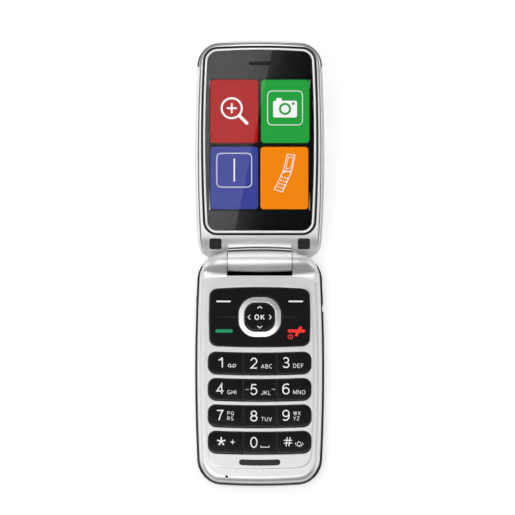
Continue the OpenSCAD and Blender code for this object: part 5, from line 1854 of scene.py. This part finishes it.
    def rails(self) -> None:
        """Bright rails in the lid's long sides, hooked round at their far ends.

        The section runs along the outline, with x set off along its normal by the share
        of the taper, which falls over the last three points at both ends.
        """
        t = np.linspace(0, np.pi, 9)
        across = self.rail_half * np.concatenate([[1], np.cos(t), [-1]])
        height = np.concatenate([[self.rail_foot], self.rail_top - 0.2 * np.sin(t), [self.rail_foot]])
        upper = height < self.rail_foot
        for side, name in ((-1, "rail_left"), (1, "rail_right")):
            ring = LID_PLAN.ring(self.rail_inset, 24, 90)
            stretch = (ring[:, 1] > self.cap_end + 0.35) & (ring[:, 1] < self.rail_start)
            path = self.drawn_in(ring[stretch & (ring[:, 0] * side > 0)])
            path = path[np.argsort(path[:, 1])]
            step = np.gradient(path, axis=0)
            step /= np.linalg.norm(step, axis=1, keepdims=True)
            normal = np.stack([step[:, 1], -step[:, 0]], axis=1) * side
            place = np.arange(len(path))
            taper = np.clip(np.minimum(place, place[::-1]) / 3, 0.15, 1)[:, None]
            flat = path[:, None] + normal[:, None] * (across * taper)[..., None]
            z = height + upper * (0.4 * (1 - taper) + 0.8 * self.roll(path[:, 1])[:, None])
            obj = lid_piece(skin(name, np.concatenate([flat, z[..., None]], axis=-1), 60))
            settle(obj, "lid", RAIL_METAL, "lid_side_rails")

    def cap(self) -> None:
        """End cap: a silver cup, whose back is rounded with a run of 4.5 and a rise of 4."""
        inside = [(2.2, 7.25), (2.2, 3.62), (1.25, 3.62), (1.25, 1.3)]
        rim = [(0.7, 1.15), (0.32, 1.5), (0.1, 2.2), (0.08, 4.2), (0.02, 4.6)]
        t = np.linspace(0, np.pi / 2, 5)[1:]
        back = np.column_stack([4.5 * (1 - np.cos(t)), 4.45 + 4 * np.sin(t)])
        obj = skin("end_cap", stacked(LID_PLAN, np.vstack([inside, rim, back]), 24, 40), 40)
        settle(self.keep_far(obj), "lid", FRAME_SILVER, "lid_top_cap")

    def cap_line(self) -> None:
        """Black line round the end cap, that thins out towards the middle.

        Its section is squeezed towards 0.35 mm inside the outline by the share
        clip(|x| / 22, 0.12, 1)^1.5.
        """
        ring = LID_PLAN.ring(0.0, 24, 40)
        inward = LID_PLAN.ring(1.0, 24, 40) - ring
        share = np.clip(np.abs(ring[:, :1]) / 22.0, 0.12, 1) ** 1.5
        middle, rows = 0.35, []
        for run, height in ((0.02, 2.54), (0.02, 1.54), (0.2, 1.14), (0.45, 1.06), (0.7, 1.24), (0.7, 2.54)):
            rows.append(at_height(ring + inward * (middle + (run - middle) * share), height))
        line = band("cap_line", np.stack(rows, axis=1), 40)
        settle(self.keep_far(line), "lid", CAP_PLASTIC)

    def keep_far(self, obj: Piece) -> Piece:
        """Cuts a piece of the closed lid to the cap's stretch, and turns it to the open lid."""
        near, seam = self.cap_end, self.seam_z + 0.05
        lap, far, low, high = near + self.cap_lap, -120, -5, 12
        view = np.array([(far, low), (near, low), (near, seam), (lap, seam), (lap, high), (far, high)])
        combine(obj, [prism_across("stretch", view, (-self.cut_half, self.cut_half))], Join.COMMON)
        shade(obj.data, 40)
        return soften(lid_piece(obj), 0.06, 45)


@dataclass
class LowerShell:
    """Rear shell of the lower half with the parts that show in its sides and back."""

    pieces: tuple[tuple[str, str, float, Finish], ...] = (
        ("base_rear_housing", "rear_shell", 0.15, BACK_PLASTIC),
        ("battery_cover", "battery_door", 0.15, COVER_PLASTIC),
        ("volume_rocker", "volume_key", 0.2, CAP_PLASTIC),
        ("nav_rocker_plate", "rocker_plate", 0.1, COMPONENT),
        ("usb_connector", "usb_shell", 0.1, STEEL),
        ("headphone_jack", "jack_barrel", 0.1, COMPONENT),
        ("hinge_collar", "hinge_collar_ring", 0.08, STEEL),
    )

    def build(self) -> None:
        """Copies each solid, softens its edges and dresses it."""
        for node, name, width, finish in self.pieces:
            finished_copy(node, name, width, finish)


@dataclass
class Insides:
    """Parts inside the phone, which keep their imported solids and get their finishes."""

    finishes: tuple[tuple[str, Finish], ...] = (
        ("base_screws", STEEL), ("hinge_cartridge", STEEL), ("hinge_shaft", STEEL),
        ("lid_magnet", STEEL), ("vibration_motor", CAN_STEEL), ("shield_cans", CAN_STEEL),
        ("lcd_tray", CAN_STEEL), ("main_board", BOARD_GREEN), ("lid_board", BOARD_GREEN),
        ("keypad_mat", MAT_SILICONE), ("dome_sheet", DOME_FILM), ("battery", CELL_WRAP),
        ("battery_contacts", CONTACT_GOLD), ("hinge_flex_cable", FLEX), ("lcd_panel", PANEL_DARK),
        ("camera_module", COMPONENT), ("card_holder", COMPONENT), ("earpiece_speaker", COMPONENT),
        ("loudspeaker", COMPONENT), ("microphone", COMPONENT),
    )

    def build(self) -> None:
        """Gives each solid the finish of its kind."""
        for node, finish in self.finishes:
            for place in frame["nodes"][node].material_slots:
                place.material = finish.material()
            LOG.info("finished %s", node)


# ---------------------------------------------------------------- studio


@dataclass(frozen=True)
class Lamp:
    """Soft rectangular lamp: its place, its size in metres and its brightness in scene units."""

    name: str
    place: Point
    size: Pair
    radiance: float
    aim: Point = (0.0, 0.05, 0.01)

    def build(self) -> Piece:
        """Adds the lamp, aimed at the phone; its power is pi * area * radiance."""
        data = bpy.data.lights.new(self.name, "AREA")
        data.shape = "RECTANGLE"
        data.size, data.size_y = self.size
        data.energy = math.pi * self.size[0] * self.size[1] * self.radiance
        obj = bpy.data.objects.new(self.name, data)
        bpy.context.scene.collection.objects.link(obj)
        obj.location = self.place
        ray = Vector(self.aim) - Vector(self.place)
        obj.rotation_euler = ray.to_track_quat("-Z", "Y").to_euler()
        obj.visible_camera = False
        return obj


@dataclass
class Studio:
    """Floor, soft lamps, sky and camera."""

    view_width: float = 0.2249
    distance: float = 6.0
    elevation: float = math.radians(80)
    target: Point = (-0.00096, 0.04847, 0.011)
    sensor: float = 36.0
    floor_half: float = 6.0
    floor_glow: float = 0.55
    zenith: float = 0.2
    horizon: float = 0.8
    front: float = 0.22
    lamps: tuple[Lamp, ...] = (
        Lamp("overhead", (0.0, -0.15, 1.4), (1.1, 0.42), 2.8),
        Lamp("over_left", (-0.6, 0.42, 1.3), (0.7, 0.8), 0.95),
        Lamp("over_right", (1.05, 0.15, 1.1), (0.5, 0.7), 1.0),
        Lamp("back", (0.0, 1.5, 1.0), (1.8, 0.5), 2.2),
        Lamp("left", (-1.5, 0.1, 0.7), (0.9, 0.8), 1.3),
        Lamp("right", (1.5, 0.1, 0.7), (0.9, 0.8), 1.2),
        Lamp("edge_right", (1.25, -0.35, 0.32), (0.25, 0.35), 4.0),
        Lamp("edge_left", (-1.25, 0.1, 0.32), (0.2, 0.4), 2.5),
    )

    def build(self) -> None:
        """Sets up everything round the phone."""
        self.camera()
        self.floor()
        self.sky()
        for lamp in self.lamps:
            lamp.build()
        self.glare_panel()

    def camera(self) -> None:
        """Camera with a long lens, looking down at the phone from its near end."""
        data = bpy.data.cameras.new("camera")
        data.sensor_width = self.sensor
        data.lens = self.sensor * self.distance / self.view_width
        data.clip_start, data.clip_end = 0.1, 50
        eye = bpy.data.objects.new("camera", data)
        bpy.context.scene.collection.objects.link(eye)
        back = (0, -math.cos(self.elevation), math.sin(self.elevation))
        eye.location = [t + self.distance * b for t, b in zip(self.target, back)]
        eye.rotation_euler = (math.pi / 2 - self.elevation, 0, 0)
        bpy.context.scene.camera = eye

    def floor(self) -> None:
        """Wide pale floor: the picture, metal and glass see it brighter than it lights."""
        edge = self.floor_half / MM
        corners = np.array([[-edge, -edge, 0], [edge, -edge, 0], [edge, edge, 0], [-edge, edge, 0]])
        obj = new_object("floor", corners, [[0, 1, 2, 3]])
        shader = Shader("floor_paper")
        path = shader.add("LightPath", {})
        seen = shader.maths("MAXIMUM", path.outputs["Is Camera Ray"], path.outputs["Is Glossy Ray"])
        seen = shader.maths("MAXIMUM", seen, path.outputs["Is Transmission Ray"])
        shader.set(
            Base_Color=shader.mix(shader.noise(40, 3), (0.60, 0.60, 0.60, 1), (0.62, 0.62, 0.62, 1)),
            Roughness=0.9,
            Specular_IOR_Level=0.1,
            Emission_Color=(1, 1, 1, 1),
            Emission_Strength=shader.maths("MULTIPLY", seen, self.floor_glow),
        )
        obj.data.materials.append(shader.material)

    def sky(self) -> None:
        """Sky that is bright at the horizon, dim overhead and dimmer on the near side."""
        world = bpy.data.worlds.new("studio_sky")
        world.use_nodes = True
        nodes = Nodes(world.node_tree)
        coords = nodes.add("TexCoord", {}).outputs["Generated"]
        split = nodes.add("SeparateXYZ", {"Vector": coords})
        upward = nodes.remap(split.outputs["Z"], self.horizon, self.zenith, (0.1, 0.85), "SMOOTHSTEP")
        onward = nodes.remap(split.outputs["Y"], self.front, 1.0, (-0.7, 0.2), "SMOOTHSTEP")
        background = world.node_tree.nodes["Background"]
        nodes.plug(background.inputs["Strength"], nodes.maths("MULTIPLY", upward, onward))
        nodes.plug(background.inputs["Color"], (1, 1, 1, 1))
        bpy.context.scene.world = world

    def glare_panel(self) -> None:
        """Dim panel whose slanting right edge is mirrored in the lens.

        The lens turns the view ray into the direction r = (0, -0.5, 0.866). The panel lies
        across r at 0.6 m, its edge leaning by 11.7 degrees through the point over the lens.
        """
        away = Vector((0, -0.5, 0.866))
        edge = Vector((0.203, 0.848, 0.490))
        left = edge.cross(away).normalized() * -1
        centre = Vector((0.003, 0.129, 0.040)) + away * 0.6 + left * 0.2 - edge * 0.05
        obj = Lamp("lens_panel", tuple(centre), (0.4, 0.5), 1.75).build()
        obj.rotation_euler = Matrix((left * -1, edge, away)).transposed().to_euler()


def main() -> None:
    """Builds the studio and the phone."""
    logging.basicConfig(level=logging.INFO, format="%(message)s")
    scene = bpy.context.scene
    scene.view_settings.view_transform = "Standard"
    Studio().build()
    LowerShell().build()
    FrontHousing().build()
    BUMPER.build()
    KEYPAD.build()
    Navigation().build()
    LidShell().build()
    Display().build()
    Insides().build()


if __name__ == "__main__":
    main()
